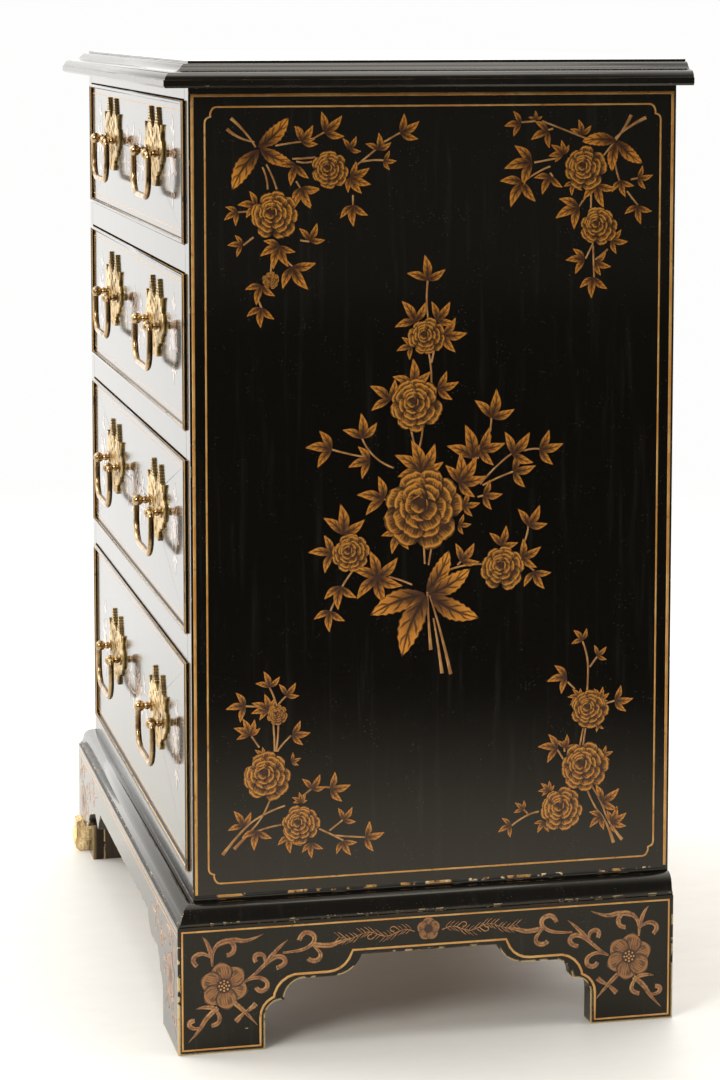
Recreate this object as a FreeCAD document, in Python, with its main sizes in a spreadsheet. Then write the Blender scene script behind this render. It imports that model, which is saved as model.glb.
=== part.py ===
"""A four-drawer chest of small size in lacquered wood, with bracket feet, cockbeaded drawers and bail pulls.

Frame: millimetres, +Z up, the drawers face -Y. The origin is on the floor, under the middle of the top.
Every driving size is a named cell of the sheet, and each piece is bound to those cells.
"""
import os
import FreeCAD, Part
import Sketcher

doc = FreeCAD.newDocument("chest")

# ---------------------------------------------------------------- driving sizes
DRIVING = {
    # overall
    "case_width": 563.0,
    "case_depth": 384.0,
    # moulded top
    "top_thickness": 19.8,
    "top_overhang": 22.0,
    "top_back_overhang": 7.0,
    "top_lip": 1.6,
    "top_step": 1.2,
    "nose_run": 5.0,
    "nose_drop": 2.6,
    "nose_bulge": 0.75,
    "cove_run": 7.6,
    "cove_drop": 3.7,
    "cove_bulge": 1.0,
    "ovolo_run": 7.2,
    "ovolo_drop": 5.9,
    "ovolo_bulge": 1.8,
    "top_under_bevel": 1.6,
    # carcass
    "side_thickness": 17.4,
    "bottom_thickness": 12.5,
    "back_thickness": 8.0,
    "back_rebate": 8.0,
    "rail_height": 21.2,
    "rail_depth": 60.0,
    "top_rail_height": 9.4,
    "housing_depth": 6.0,
    "housing_stop": 8.0,
    "runner_width": 25.0,
    # drawer openings, top to bottom
    "opening_1": 110.3,
    "opening_2": 121.7,
    "opening_3": 136.6,
    "opening_4": 166.4,
    # plinth with bracket feet, and the moulding on it
    "plinth_height": 100.5,
    "plinth_projection": 14.5,
    "plinth_thickness": 18.0,
    "moulding_height": 16.4,
    "moulding_round": 8.6,
    "moulding_round_run": 10.3,
    "moulding_round_bulge": 2.5,
    "moulding_cove_radius": 14.0,
    "moulding_fillet": 1.9,
    "moulding_fillet_inset": 1.5,
    "moulding_cove_inset": 2.3,
    "front_foot": 75.4,
    "side_foot": 68.0,
    "spring_rise": 26.0,
    "lobe_low_run": 15.0,
    "lobe_low_rise": 12.5,
    "lobe_high_run": 13.8,
    "lobe_high_rise": 16.1,
    "shelf_run": 25.9,
    "arch_ovolo_run": 21.8,
    "arch_ovolo_rise": 15.9,
    "rear_foot": 60.0,
    "corner_block": 33.0,
    # the broken front left foot
    "break_height": 31.0,
    "splinter_reach": 6.5,
    "stub_height": 57.0,
    "stub_thickness": 11.5,
    # drawers
    "drawer_gap": 0.8,
    "drawer_lift": 0.3,
    "drawer_headroom": 4.0,
    "front_thickness": 19.0,
    "drawer_back_room": 26.0,
    "drawer_wall": 10.0,
    "drawer_floor": 5.0,
    "floor_rise": 8.0,
    "groove_depth": 5.0,
    "groove_clearance": 0.2,
    "back_setback": 12.0,
    "back_drop": 3.0,
    "bead_thickness": 3.2,
    "bead_nose_radius": 1.65,
    "bead_proud": 3.0,
    "bead_rebate": 11.0,
    # pulls
    "pull_spread": 120.0,
    "pull_raise": 9.0,
    "post_spacing": 62.0,
    "plate_thickness": 2.2,
    "wing_reach": 14.5,
    "ball_stand": 12.0,
    "ball_radius": 4.6,
    "bead_radius": 3.2,
    "bead_stand": 5.7,
    "neck_radius": 2.4,
    "flange_radius": 4.8,
    "flange_height": 1.2,
    "shank_radius": 2.0,
    "shank_length": 27.0,
    "nut_width": 8.0,
    "nut_height": 3.5,
    "bail_radius": 2.5,
    "bail_arm_offset": 8.6,
    "bail_elbow": 3.2,
    "bail_drop": 34.5,
    "bail_corner": 17.0,
    "pin_radius": 1.6,
    "pin_length": 4.4,
    "pin_clearance": 0.05,
    "ball_clearance": 0.3,
    "bore_spare": 1.2,
}

sheet = doc.addObject("Spreadsheet::Sheet", "sizes")
for row, (alias, number) in enumerate(DRIVING.items(), start=1):
    sheet.set("A%d" % row, alias)
    sheet.set("B%d" % row, str(number))
    sheet.setAlias("B%d" % row, alias)
doc.recompute()


class Size:
    """A length: its number, and the sheet expression that gives it."""

    def __init__(self, number, text):
        self.number = number
        self.text = text

    @staticmethod
    def of(item):
        return item if isinstance(item, Size) else Size(float(item), "%.6f" % item)

    def __add__(self, other):
        other = Size.of(other)
        return Size(self.number + other.number, "(%s + %s)" % (self.text, other.text))

    def __sub__(self, other):
        other = Size.of(other)
        return Size(self.number - other.number, "(%s - %s)" % (self.text, other.text))

    def __mul__(self, other):
        other = Size.of(other)
        return Size(self.number * other.number, "(%s * %s)" % (self.text, other.text))

    def __truediv__(self, other):
        other = Size.of(other)
        return Size(self.number / other.number, "(%s / %s)" % (self.text, other.text))

    def __radd__(self, other):
        return Size.of(other) + self

    def __rsub__(self, other):
        return Size.of(other) - self

    def __rmul__(self, other):
        return Size.of(other) * self

    def __neg__(self):
        return Size(-self.number, "(0 - %s)" % self.text)


class Sheet:
    """Reads a driving size by its name."""

    def __getattr__(self, alias):
        return Size(float(sheet.get(alias)), "sizes." + alias)


S = Sheet()
ZERO = Size.of(0)

# ---------------------------------------------------------------- places worked out from the sizes
half_width = S.case_width / 2
case_middle_y = (S.top_overhang - S.top_back_overhang) / 2
front_y = case_middle_y - S.case_depth / 2
back_y = case_middle_y + S.case_depth / 2
inner_half = half_width - S.side_thickness
back_face_y = back_y - S.back_thickness
plinth_half = half_width + S.plinth_projection
plinth_front_y = front_y - S.plinth_projection
plinth_corner = (plinth_half - S.plinth_thickness, plinth_front_y + S.plinth_thickness)
drawer_length = S.case_depth - S.back_thickness - S.drawer_back_room

floor_top = S.plinth_height + S.bottom_thickness
openings = []
opening_low = floor_top + S.rail_height
for height in (S.opening_4, S.opening_3, S.opening_2, S.opening_1):
    openings.insert(0, (opening_low, opening_low + height))
    opening_low = opening_low + height + S.rail_height
case_top = openings[0][1] + S.top_rail_height
total_height = case_top + S.top_thickness

nodes = []


# ---------------------------------------------------------------- small helpers
def keep(piece, label):
    """Name a finished piece; its label names its file."""
    piece.Label = label
    nodes.append(piece)
    return piece


def bind(piece, name, size):
    piece.setExpression(name, Size.of(size).text)


def box(name, low, high):
    """A board between two corners."""
    board = doc.addObject("Part::Box", name)
    for side, start, stop in zip(("Length", "Width", "Height"), low, high):
        bind(board, side, Size.of(stop) - start)
    for axis, start in zip("xyz", low):
        bind(board, "Placement.Base." + axis, start)
    return board


def joined(name, pieces):
    fuse = doc.addObject("Part::MultiFuse", name)
    fuse.Shapes = pieces
    return fuse


def cut(name, base, tools):
    """A board with housings, rebates or holes taken out of it."""
    result = doc.addObject("Part::Cut", name)
    result.Base = base
    result.Tool = tools[0] if len(tools) == 1 else joined(name + "_cuts", tools)
    return result


def group(name, pieces):
    compound = doc.addObject("Part::Compound", name)
    compound.Links = pieces
    return compound


def mirrored(name, source, across_x=ZERO):
    """A mirror copy of a piece across the plane x = across_x."""
    mirror = doc.addObject("Part::Mirroring", name)
    mirror.Source = source
    mirror.Normal = (1, 0, 0)
    bind(mirror, "Base.x", across_x)
    return mirror


def plane_of(body, role):
    return next(item for item in body.Origin.OriginFeatures if item.Role == role)


def new_sketch(body, name, role, offset=ZERO):
    """A sketch on one of the body's own origin planes, moved along the plane's normal."""
    sketch = body.newObject("Sketcher::SketchObject", name)
    sketch.AttachmentSupport = (plane_of(body, role), "")
    sketch.MapMode = "FlatFace"
    bind(sketch, "AttachmentOffset.Base.z", offset)
    return sketch


def pin_point(sketch, geometry, end, place):
    """Hold one point of a sketch at two sizes."""
    for kind, size in zip(("DistanceX", "DistanceY"), place):
        size = Size.of(size)
        number = sketch.addConstraint(Sketcher.Constraint(kind, -1, 1, geometry, end, size.number))
        sketch.setExpression("Constraints[%d]" % number, size.text)


def arc_between(start, stop, radius, turn):
    """A short arc from start to stop, curving left (turn 1) or right (turn -1)."""
    first = FreeCAD.Vector(start[0].number, start[1].number, 0)
    last = FreeCAD.Vector(stop[0].number, stop[1].number, 0)
    chord = last - first
    inset = max(radius.number ** 2 - (chord.Length / 2) ** 2, 0) ** 0.5
    normal = FreeCAD.Vector(-chord.y, chord.x, 0).normalize()
    whole = Part.Circle((first + last) * 0.5 + normal * (inset * turn), FreeCAD.Vector(0, 0, 1), radius.number)
    if turn < 0:
        first, last = last, first
    return Part.ArcOfCircle(whole, whole.parameter(first), whole.parameter(last))


def set_radius(sketch, geometry, radius):
    limit = sketch.addConstraint(Sketcher.Constraint("Radius", geometry, radius.number))
    sketch.setExpression("Constraints[%d]" % limit, radius.text)


def add_edge(sketch, start, stop, arc):
    """Add a line, or an arc of (radius, turn); return it with the numbers of its first and last ends."""
    if arc is None:
        line = Part.LineSegment(FreeCAD.Vector(start[0].number, start[1].number, 0),
                                FreeCAD.Vector(stop[0].number, stop[1].number, 0))
        return sketch.addGeometry(line, False), 1, 2
    radius, turn = arc
    geometry = sketch.addGeometry(arc_between(start, stop, radius, turn), False)
    set_radius(sketch, geometry, radius)
    return (geometry, 1, 2) if turn > 0 else (geometry, 2, 1)


def outline(sketch, corners, arcs=None, closed=True):
    """A chain of edges through corners; arcs maps an edge's number to its (radius, turn)."""
    arcs = arcs or {}
    corners = [(Size.of(x), Size.of(y)) for x, y in corners]
    stops = corners[1:] + corners[:1] if closed else corners[1:]
    edges = [add_edge(sketch, start, stop, arcs.get(number))
             for number, (start, stop) in enumerate(zip(corners, stops))]
    for number, here in enumerate(edges):
        if number or closed:
            before = edges[number - 1]
            sketch.addConstraint(Sketcher.Constraint("Coincident", before[0], before[2], here[0], here[1]))
        pin_point(sketch, here[0], here[1], corners[number])
    if not closed:
        pin_point(sketch, edges[-1][0], edges[-1][2], corners[-1])


def circle(sketch, centre, radius):
    radius = Size.of(radius)
    place = FreeCAD.Vector(Size.of(centre[0]).number, Size.of(centre[1]).number, 0)
    geometry = sketch.addGeometry(Part.Circle(place, FreeCAD.Vector(0, 0, 1), radius.number), False)
    set_radius(sketch, geometry, radius)
    pin_point(sketch, geometry, 3, centre)


def pad(body, sketch, length, backwards=False):
    feature = body.newObject("PartDesign::Pad", sketch.Name + "_pad")
    feature.Profile = (sketch, [""])
    feature.Reversed = backwards
    bind(feature, "Length", length)
    return feature


def pocket(body, sketch, length, forwards=False):
    """A cut against the sketch's normal, or along it if forwards."""
    feature = body.newObject("PartDesign::Pocket", sketch.Name + "_pocket")
    feature.Profile = (sketch, [""])
    feature.Reversed = forwards
    bind(feature, "Length", length)
    return feature


def new_body(name):
    return doc.addObject("PartDesign::Body", name)


# ---------------------------------------------------------------- carcass
def rail(name, low, high):
    """A front rail whose tongues sit in stopped housings in the sides."""
    rail_back = front_y + S.rail_depth
    face = box(name + "_face", (-inner_half, front_y, low), (inner_half, rail_back, high))
    reach = inner_half + S.housing_depth
    tongue = box(name + "_tongue", (-reach, front_y + S.housing_stop, low), (reach, rail_back, high))
    keep(joined(name, [face, tongue]), name)


def case_side(name):
    """The right side, with its housings and the rebate for the back."""
    board = box(name + "_board", (inner_half, front_y, S.plinth_height), (half_width, back_y, case_top))
    deep = inner_half + S.housing_depth
    cuts = [box(name + "_rebate", (inner_half, back_face_y, S.plinth_height),
                (inner_half + S.back_rebate, back_y, case_top)),
            box(name + "_floor_housing", (inner_half, front_y, S.plinth_height), (deep, back_face_y, floor_top))]
    rail_places = [(low - S.rail_height, low) for low, high in openings] + [(openings[0][1], case_top)]
    for number, (low, high) in enumerate(rail_places):
        cuts.append(box("%s_housing_%d" % (name, number), (inner_half, front_y + S.housing_stop, low),
                        (deep, front_y + S.rail_depth, high)))
    return cut(name, board, cuts)


def carcass():
    right = keep(case_side("side_right"), "case_side_right")
    keep(mirrored("side_left", right), "case_side_left")
    reach = inner_half + S.housing_depth
    keep(box("floor", (-reach, front_y, S.plinth_height), (reach, back_face_y, floor_top)), "case_floor")
    reach = inner_half + S.back_rebate
    keep(box("back", (-reach, back_face_y, S.plinth_height), (reach, back_y, case_top)), "back_panel")
    rail("top_rail", openings[0][1], case_top)
    for number in (1, 2, 3):
        low = openings[number - 1][0]
        rail("divider_%d" % number, low - S.rail_height, low)
    rail("bottom_rail", floor_top, floor_top + S.rail_height)
    rail_back = front_y + S.rail_depth
    runners = []
    for number, (low, high) in enumerate(openings, start=1):
        strip = box("runner_%d" % number, (inner_half - S.runner_width, rail_back, low - S.rail_height),
                    (inner_half, back_face_y, low))
        runners += [strip, mirrored("runner_left_%d" % number, strip)]
    keep(group("runners", runners), "drawer_runners")
    strip = box("kicker", (inner_half - S.runner_width, rail_back, openings[0][1]),
                (inner_half, back_face_y, case_top))
    keep(group("kickers", [strip, mirrored("kicker_left", strip)]), "top_kickers")


# ---------------------------------------------------------------- moulded top
def top_edge():
    """The top's edge from its upper arris down: offsets out from the case face, and heights."""
    high = total_height
    lip = high - S.top_lip
    nose = (S.top_step + S.nose_run, lip - S.nose_drop)
    cove = (nose[0] + S.cove_run, nose[1] - S.cove_drop)
    ovolo = (cove[0] + S.ovolo_run, cove[1] - S.ovolo_drop)
    return [(ZERO, high), (ZERO, lip), (S.top_step, lip), nose, cove, ovolo, (S.top_overhang, ovolo[1]),
            (S.top_overhang, case_top + S.top_under_bevel), (S.top_overhang - S.top_under_bevel, case_top)]


def bulged(run, drop, bulge):
    """Radius of an arc across a run and a drop that stands out from its chord by the bulge."""
    return ((run * run + drop * drop) / 4 + bulge * bulge) / (2 * bulge)


def square_start(run, rise):
    """Radius of an arc that sets off at a right angle to its run and ends a run and a rise away."""
    return (run * run + rise * rise) / (2 * run)


def top_arcs(first, turn):
    """The nose, cove and ovolo of the top's edge, the nose being the edge numbered first."""
    return {first: (bulged(S.nose_run, S.nose_drop, S.nose_bulge), -turn),
            first + 1: (bulged(S.cove_run, S.cove_drop, S.cove_bulge), turn),
            first + 2: (bulged(S.ovolo_run, S.ovolo_drop, S.ovolo_bulge), -turn)}


def top_slab():
    body = new_body("top_slab_body")
    edge = top_edge()
    right = [(half_width + out, up) for out, up in edge]
    left = [(-half_width - out, up) for out, up in reversed(edge)]
    arcs = top_arcs(2, 1)
    last = len(edge) * 2 - 1
    arcs.update({last - 3: (arcs[2][0], -1), last - 4: (arcs[3][0], 1), last - 5: (arcs[4][0], -1)})
    slab_front = front_y - S.top_overhang
    slab_back = back_y + S.top_back_overhang
    across = new_sketch(body, "top_across", "XZ_Plane", -slab_back)
    outline(across, right + left, arcs)
    pad(body, across, slab_back - slab_front)
    waste = new_sketch(body, "top_front_waste", "YZ_Plane", -half_width - S.top_overhang - 1)
    corners = [(front_y - out, up) for out, up in edge]
    corners += [(front_y - S.top_overhang + S.top_under_bevel, case_top - 1), (slab_front - 1, case_top - 1),
                (slab_front - 1, total_height + 1), (front_y, total_height + 1)]
    outline(waste, corners, top_arcs(2, -1))
    pocket(body, waste, S.case_width + 2 * S.top_overhang + 2, forwards=True)
    keep(body, "top_slab")


# ---------------------------------------------------------------- base moulding and plinth
def moulding_edge():
    """The moulding's edge from the case face down to its foot: offsets out and heights."""
    high = S.plinth_height + S.moulding_height
    low_out = S.plinth_projection - S.moulding_fillet_inset
    cove_out = S.plinth_projection - S.moulding_cove_inset
    fillet = S.plinth_height + S.moulding_fillet
    return [(ZERO, high), (S.moulding_round_run, high - S.moulding_round), (cove_out, fillet), (low_out, fillet),
            (low_out, S.plinth_height), (ZERO, S.plinth_height)]


def moulding_arcs(turn):
    return {0: (bulged(S.moulding_round_run, S.moulding_round, S.moulding_round_bulge), -turn),
            1: (S.moulding_cove_radius, turn)}


def mitre(body, name, hand, inner, reach, heights, front_piece):
    """Cut the waste beyond the mitre from an inner corner out to the right (1) or left (-1) front."""
    low, high = heights
    sketch = new_sketch(body, name, "XY_Plane", low)
    near = (hand * (inner[0] - 1), inner[1] + 1)
    far = (hand * (inner[0] + reach + 1), inner[1] - reach - 1)
    waste = (far[0], near[1]) if front_piece else (near[0], far[1])
    outline(sketch, [near, waste, far])
    pocket(body, sketch, high - low, forwards=True)


def base_mouldings():
    edge = moulding_edge()
    corner = (half_width, front_y)
    heights = (S.plinth_height - 1, S.plinth_height + S.moulding_height + 1)
    front = new_body("moulding_front_body")
    section = new_sketch(front, "moulding_front_section", "YZ_Plane", -plinth_half)
    outline(section, [(front_y - out, up) for out, up in edge], moulding_arcs(-1))
    pad(front, section, 2 * plinth_half)
    mitre(front, "moulding_mitre_a", 1, corner, S.plinth_projection, heights, front_piece=True)
    mitre(front, "moulding_mitre_b", -1, corner, S.plinth_projection, heights, front_piece=True)
    keep(front, "base_moulding_front")
    right = new_body("moulding_right_body")
    section = new_sketch(right, "moulding_right_section", "XZ_Plane", -back_y)
    outline(section, [(half_width + out, up) for out, up in edge], moulding_arcs(1))
    pad(right, section, S.case_depth + S.plinth_projection)
    mitre(right, "moulding_mitre_c", 1, corner, S.plinth_projection, heights, front_piece=False)
    keep(right, "base_moulding_right")
    keep(mirrored("moulding_left", right), "base_moulding_left")


def bracket(inner, sign):
    """A bracket foot's inner outline, from the floor up to the arch, and its arcs' radii."""
    corners = [(inner, ZERO), (inner, S.spring_rise)]
    runs = ((S.lobe_low_run, S.lobe_low_rise), (S.lobe_high_run, S.lobe_high_rise), (S.shelf_run, ZERO),
            (S.arch_ovolo_run, S.arch_ovolo_rise))
    for run, rise in runs:
        along, up = corners[-1]
        corners.append((along + sign * run, up + rise))
    return corners


def bracket_radii():
    """The two lobes set off upright; the ovolo leaves the shelf level."""
    return (square_start(S.lobe_low_run, S.lobe_low_rise), square_start(S.lobe_high_run, S.lobe_high_rise),
            square_start(S.arch_ovolo_rise, S.arch_ovolo_run))


# the splintered end of the left board: shares of the splinter's reach, and heights from the break down
SPLINTERS = [(0.35, 25), (0.5, 20), (1, 9), (0.8, 3), (0.3, 0)]
# the broken edge of the front board, from the arch out to the corner: steps along, and heights
BREAK_EDGE = [(16, 53), (34, 62.5), (71, 52.5), (86, 40), (103, 29), (128, 32)]


def plinth_side(name, broken):
    """A side board of the plinth; the broken one has a splintered front end under the break."""
    hand = -1 if broken else 1
    body = new_body(name + "_body")
    face = new_sketch(body, name + "_face", "YZ_Plane", hand * plinth_half)
    near = bracket(plinth_front_y + S.side_foot, 1)
    far = bracket(back_y - S.side_foot, -1)
    corners = near + far[::-1] + [(back_y, ZERO), (back_y, S.plinth_height), (plinth_front_y, S.plinth_height)]
    if broken:
        corners.append((plinth_front_y, S.break_height))
        corners += [(plinth_front_y - S.splinter_reach * share, up) for share, up in SPLINTERS]
    else:
        corners.append((plinth_front_y, ZERO))
    low, high, ovolo = bracket_radii()
    last = len(near) + len(far) - 1
    outline(face, corners, {1: (low, -1), 2: (high, -1), 4: (ovolo, 1),
                            last - 2: (low, -1), last - 3: (high, -1), last - 5: (ovolo, 1)})
    pad(body, face, S.plinth_thickness, backwards=not broken)
    heights = (S.break_height if broken else Size.of(-1), S.plinth_height + 1)
    mitre(body, name + "_mitre", hand, plinth_corner, S.plinth_thickness, heights, front_piece=False)
    keep(body, name)


def plinth_front():
    """The front board: a whole bracket on the right, and a jagged break with a stub behind it on the left."""
    body = new_body("plinth_front_body")
    face = new_sketch(body, "plinth_front_face", "XZ_Plane", -plinth_front_y)
    foot = bracket(plinth_half - S.front_foot, -1)
    arch_end = -foot[-1][0]
    broken = [(arch_end, foot[-1][1])] + [(arch_end - along, up) for along, up in BREAK_EDGE]
    low, high, ovolo = bracket_radii()
    outline(face, foot + broken + [(-plinth_half, S.break_height), (-plinth_half, S.plinth_height),
                                   (plinth_half, S.plinth_height), (plinth_half, ZERO)],
            {1: (low, 1), 2: (high, 1), 4: (ovolo, -1)})
    pad(body, face, S.plinth_thickness, backwards=True)
    stub = new_sketch(body, "plinth_front_stub", "XZ_Plane", -plinth_front_y - S.plinth_thickness)
    stub_left = S.plinth_thickness - plinth_half
    stub_right = stub_left + S.corner_block
    outline(stub, [(stub_left, ZERO), (stub_right, ZERO), (stub_right, S.stub_height), (stub_left, S.stub_height)])
    pad(body, stub, S.stub_thickness)
    heights = (Size.of(-1), S.plinth_height + 1)
    mitre(body, "plinth_mitre_a", 1, plinth_corner, S.plinth_thickness, heights, front_piece=True)
    mitre(body, "plinth_mitre_b", -1, plinth_corner, S.plinth_thickness, heights, front_piece=True)
    keep(body, "plinth_front")


def plinth_back():
    """The plain rear board between the side boards, on two sloped feet."""
    body = new_body("plinth_back_body")
    face = new_sketch(body, "plinth_back_face", "XZ_Plane", -back_y)
    edge = plinth_corner[0]
    foot = edge - S.rear_foot
    arch = bracket(ZERO, 1)[-1][1]
    slope = S.lobe_high_run + S.shelf_run
    outline(face, [(-edge, ZERO), (-foot, ZERO), (-foot + slope, arch), (foot - slope, arch), (foot, ZERO),
                   (edge, ZERO), (edge, S.plinth_height), (-edge, S.plinth_height)])
    pad(body, face, S.plinth_thickness)
    keep(body, "plinth_back")


def corner_blocks():
    edge, near = plinth_corner
    inner = edge - S.corner_block
    far = back_y - S.plinth_thickness
    blocks = []
    for name, low, high in (("near", near, near + S.corner_block), ("far", far - S.corner_block, far)):
        block = box("block_" + name, (inner, low, 0), (edge, high, S.plinth_height))
        blocks += [block, mirrored("block_left_" + name, block)]
    keep(group("blocks", blocks), "corner_blocks")


# ---------------------------------------------------------------- drawers
TAIL_SHARE_NARROW = 0.24
TAIL_SHARE_WIDE = 0.33


def tails(low, high, count):
    """The dovetails at a drawer side's front end: (low, high) at the shoulder, then at the far end."""
    pitch = (high - low) / count
    places = []
    for number in range(count):
        middle = low + pitch * (number + 0.5)
        narrow = pitch * TAIL_SHARE_NARROW
        wide = pitch * TAIL_SHARE_WIDE
        places.append((middle - narrow, middle + narrow, middle - wide, middle + wide))
    return places


def drawer_front(name, low, high, side_low, side_high, count, pull_z):
    """The front board: rebated for the bead, grooved for the floor, with dovetail sockets in its ends."""
    body = new_body(name + "_body")
    edge = inner_half - S.drawer_gap
    bead = S.bead_thickness
    back_of_front = front_y + S.front_thickness
    whole = new_sketch(body, name + "_whole", "XZ_Plane", -back_of_front)
    outline(whole, [(-edge, low), (edge, low), (edge, high), (-edge, high)])
    pad(body, whole, S.front_thickness - S.bead_rebate)
    field = new_sketch(body, name + "_field", "XZ_Plane", -back_of_front)
    outline(field, [(bead - edge, low + bead), (edge - bead, low + bead), (edge - bead, high - bead),
                    (bead - edge, high - bead)])
    pad(body, field, S.front_thickness)
    groove = new_sketch(body, name + "_groove", "XZ_Plane", -back_of_front)
    groove_low = side_low + S.floor_rise
    inner = edge - S.drawer_wall
    outline(groove, [(-inner, groove_low), (inner, groove_low), (inner, groove_low + S.drawer_floor),
                     (-inner, groove_low + S.drawer_floor)])
    pocket(body, groove, S.groove_depth, forwards=True)
    shoulder = back_of_front
    far = front_y + S.bead_rebate
    for hand, sign in (("right", 1), ("left", -1)):
        sockets = new_sketch(body, "%s_sockets_%s" % (name, hand), "YZ_Plane", sign * edge)
        for narrow_low, narrow_high, wide_low, wide_high in tails(side_low, side_high, count):
            outline(sockets, [(shoulder, narrow_low), (shoulder, narrow_high), (far, wide_high), (far, wide_low)])
        pocket(body, sockets, S.drawer_wall, forwards=sign < 0)
    bores = new_sketch(body, name + "_bores", "XZ_Plane", -back_of_front)
    for pull in (-1, 1):
        for post in (-1, 1):
            circle(bores, (pull * S.pull_spread + post * S.post_spacing / 2, pull_z), S.shank_radius)
    pocket(body, bores, S.front_thickness, forwards=True)
    keep(body, name)


def drawer_side(name, side_low, side_high, count):
    """The right side of a drawer, with its dovetails and the groove for the floor."""
    body = new_body(name + "_body")
    outer = inner_half - S.drawer_gap
    face = new_sketch(body, name + "_face", "YZ_Plane", outer)
    shoulder = front_y + S.front_thickness
    far = front_y + S.bead_rebate
    end = front_y + drawer_length
    corners = [(shoulder, side_low)]
    for narrow_low, narrow_high, wide_low, wide_high in tails(side_low, side_high, count):
        corners += [(shoulder, narrow_low), (far, wide_low), (far, wide_high), (shoulder, narrow_high)]
    corners += [(shoulder, side_high), (end, side_high), (end, side_low)]
    outline(face, corners)
    pad(body, face, S.drawer_wall, backwards=True)
    groove = new_sketch(body, name + "_groove", "YZ_Plane", outer - S.drawer_wall)
    groove_low = side_low + S.floor_rise
    outline(groove, [(shoulder, groove_low), (end, groove_low), (end, groove_low + S.drawer_floor),
                     (shoulder, groove_low + S.drawer_floor)])
    pocket(body, groove, S.groove_depth, forwards=True)
    return body


def cockbead(name, low, high):
    """Four mitred strips round the front, each with a rounded nose."""
    edge = inner_half - S.drawer_gap
    nose = front_y - S.bead_proud
    root = front_y + S.bead_rebate
    bead = S.bead_thickness
    middle = (low + high) / 2
    half_high = (high - low) / 2
    strips = []
    for part, along, across in (("rail", edge, half_high), ("stile", half_high, edge)):
        body = new_body("%s_%s_body" % (name, part))
        role = "YZ_Plane" if part == "rail" else "XY_Plane"
        section = new_sketch(body, "%s_%s_section" % (name, part), role, -along)
        outer, inner = across, across - bead
        corners = [(nose + bead / 2, outer), (root, outer), (root, inner), (nose + bead / 2, inner)]
        if part == "stile":
            corners = [(across_place, y) for y, across_place in corners]
        turn = -1 if part == "rail" else 1
        outline(section, corners, {3: (S.bead_nose_radius, turn)})
        pad(body, section, 2 * along)
        role = "XZ_Plane"
        for hand, sign in (("a", 1), ("b", -1)):
            mitre = new_sketch(body, "%s_%s_mitre_%s" % (name, part, hand), role, -root - 1)
            tip = (sign * (along - bead - 1), across - bead - 1)
            corner = (sign * (along + 1), across + 1)
            waste = (corner[0], tip[1])
            places = [tip, corner, waste]
            if part == "stile":
                places = [(b, a) for a, b in places]
            outline(mitre, places)
            pocket(body, mitre, S.bead_rebate + S.bead_proud + 2, forwards=True)
        bind(body, "Placement.Base.z", middle)
        strips.append(body)
    top, right = strips
    bottom = doc.addObject("Part::Mirroring", name + "_bottom")
    bottom.Source = top
    bottom.Normal = (0, 0, 1)
    bind(bottom, "Base.z", middle)
    left = mirrored(name + "_left", right)
    keep(group(name + "_group", [top, right, bottom, left]), name)


# ---------------------------------------------------------------- pulls
def placed(body, x, y, z):
    for axis, size in zip("xyz", (x, y, z)):
        bind(body, "Placement.Base." + axis, size)
    return body


# the right half of the plate about the middle of the pull, from the pendant's foot up to the crown
PLATE = [(12.5, -27), (14, -25), (11, -17), (23, -13.5), (35, -8.5), (45.5, 1), (39, 11), (43.5, 23), (41, 23.5),
         (33, 15.5), (26, 22), (24, 27.5), (20.5, 36.5), (17.5, 36.5), (14.5, 28), (11.5, 25.5)]
# its curved edges: how far each stands out from its chord, and which way it turns
PLATE_BULGES = {1: (1.5, 1), 2: (3.4, 1), 3: (3.3, 1), 4: (2.6, 1), 5: (3.3, 1), 6: (1.7, -1), 8: (2.3, -1), 9: (2.4, 1)}
PLATE_VALLEY = 6.4
PLATE_HALF = 45.5
PIERCINGS = [(0, 15, 3.2), (8.5, 18, 2.4), (10, 9, 3.0), (0, 4.5, 3.6), (9.5, -2, 2.8), (0, -7, 2.6),
             (8, -10.5, 2.2), (0, -19, 3.0), (19.5, 2.5, 3.2), (19, 13.5, 3.0), (18.5, -7.5, 2.2), (19, 27, 1.9),
             (38, 3.5, 1.7), (33.5, 9.5, 1.6)]


def backplate(name, pull_x, pull_z):
    """A pierced cast plate, whose width follows the posts; its outline is drawn about the middle of the pull."""
    body = new_body(name)
    face = new_sketch(body, name + "_face", "XZ_Plane")
    stretch = (S.post_spacing / 2 + S.wing_reach) / PLATE_HALF
    corners = [(stretch * x, Size.of(z)) for x, z in PLATE + [(-x, z) for x, z in reversed(PLATE)]]
    last = len(corners) - 2
    bulges = dict(PLATE_BULGES)
    bulges.update({last - number: arc for number, arc in PLATE_BULGES.items()})
    bulges[len(PLATE) - 1] = (PLATE_VALLEY, -1)
    arcs = {}
    for number, (bulge, turn) in bulges.items():
        (x, z), (next_x, next_z) = corners[number], corners[number + 1]
        arcs[number] = (bulged(next_x - x, next_z - z, Size.of(bulge)), turn)
    outline(face, corners, arcs)
    pad(body, face, S.plate_thickness)
    holes = new_sketch(body, name + "_holes", "XZ_Plane")
    for x, z, radius in PIERCINGS:
        for hand in ((1, -1) if x else (1,)):
            circle(holes, (stretch * x * hand, z), radius)
    for post in (-1, 1):
        circle(holes, (post * S.post_spacing / 2, 0), S.shank_radius)
    pocket(body, holes, S.plate_thickness, forwards=True)
    return placed(body, pull_x, front_y, pull_z)


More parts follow.
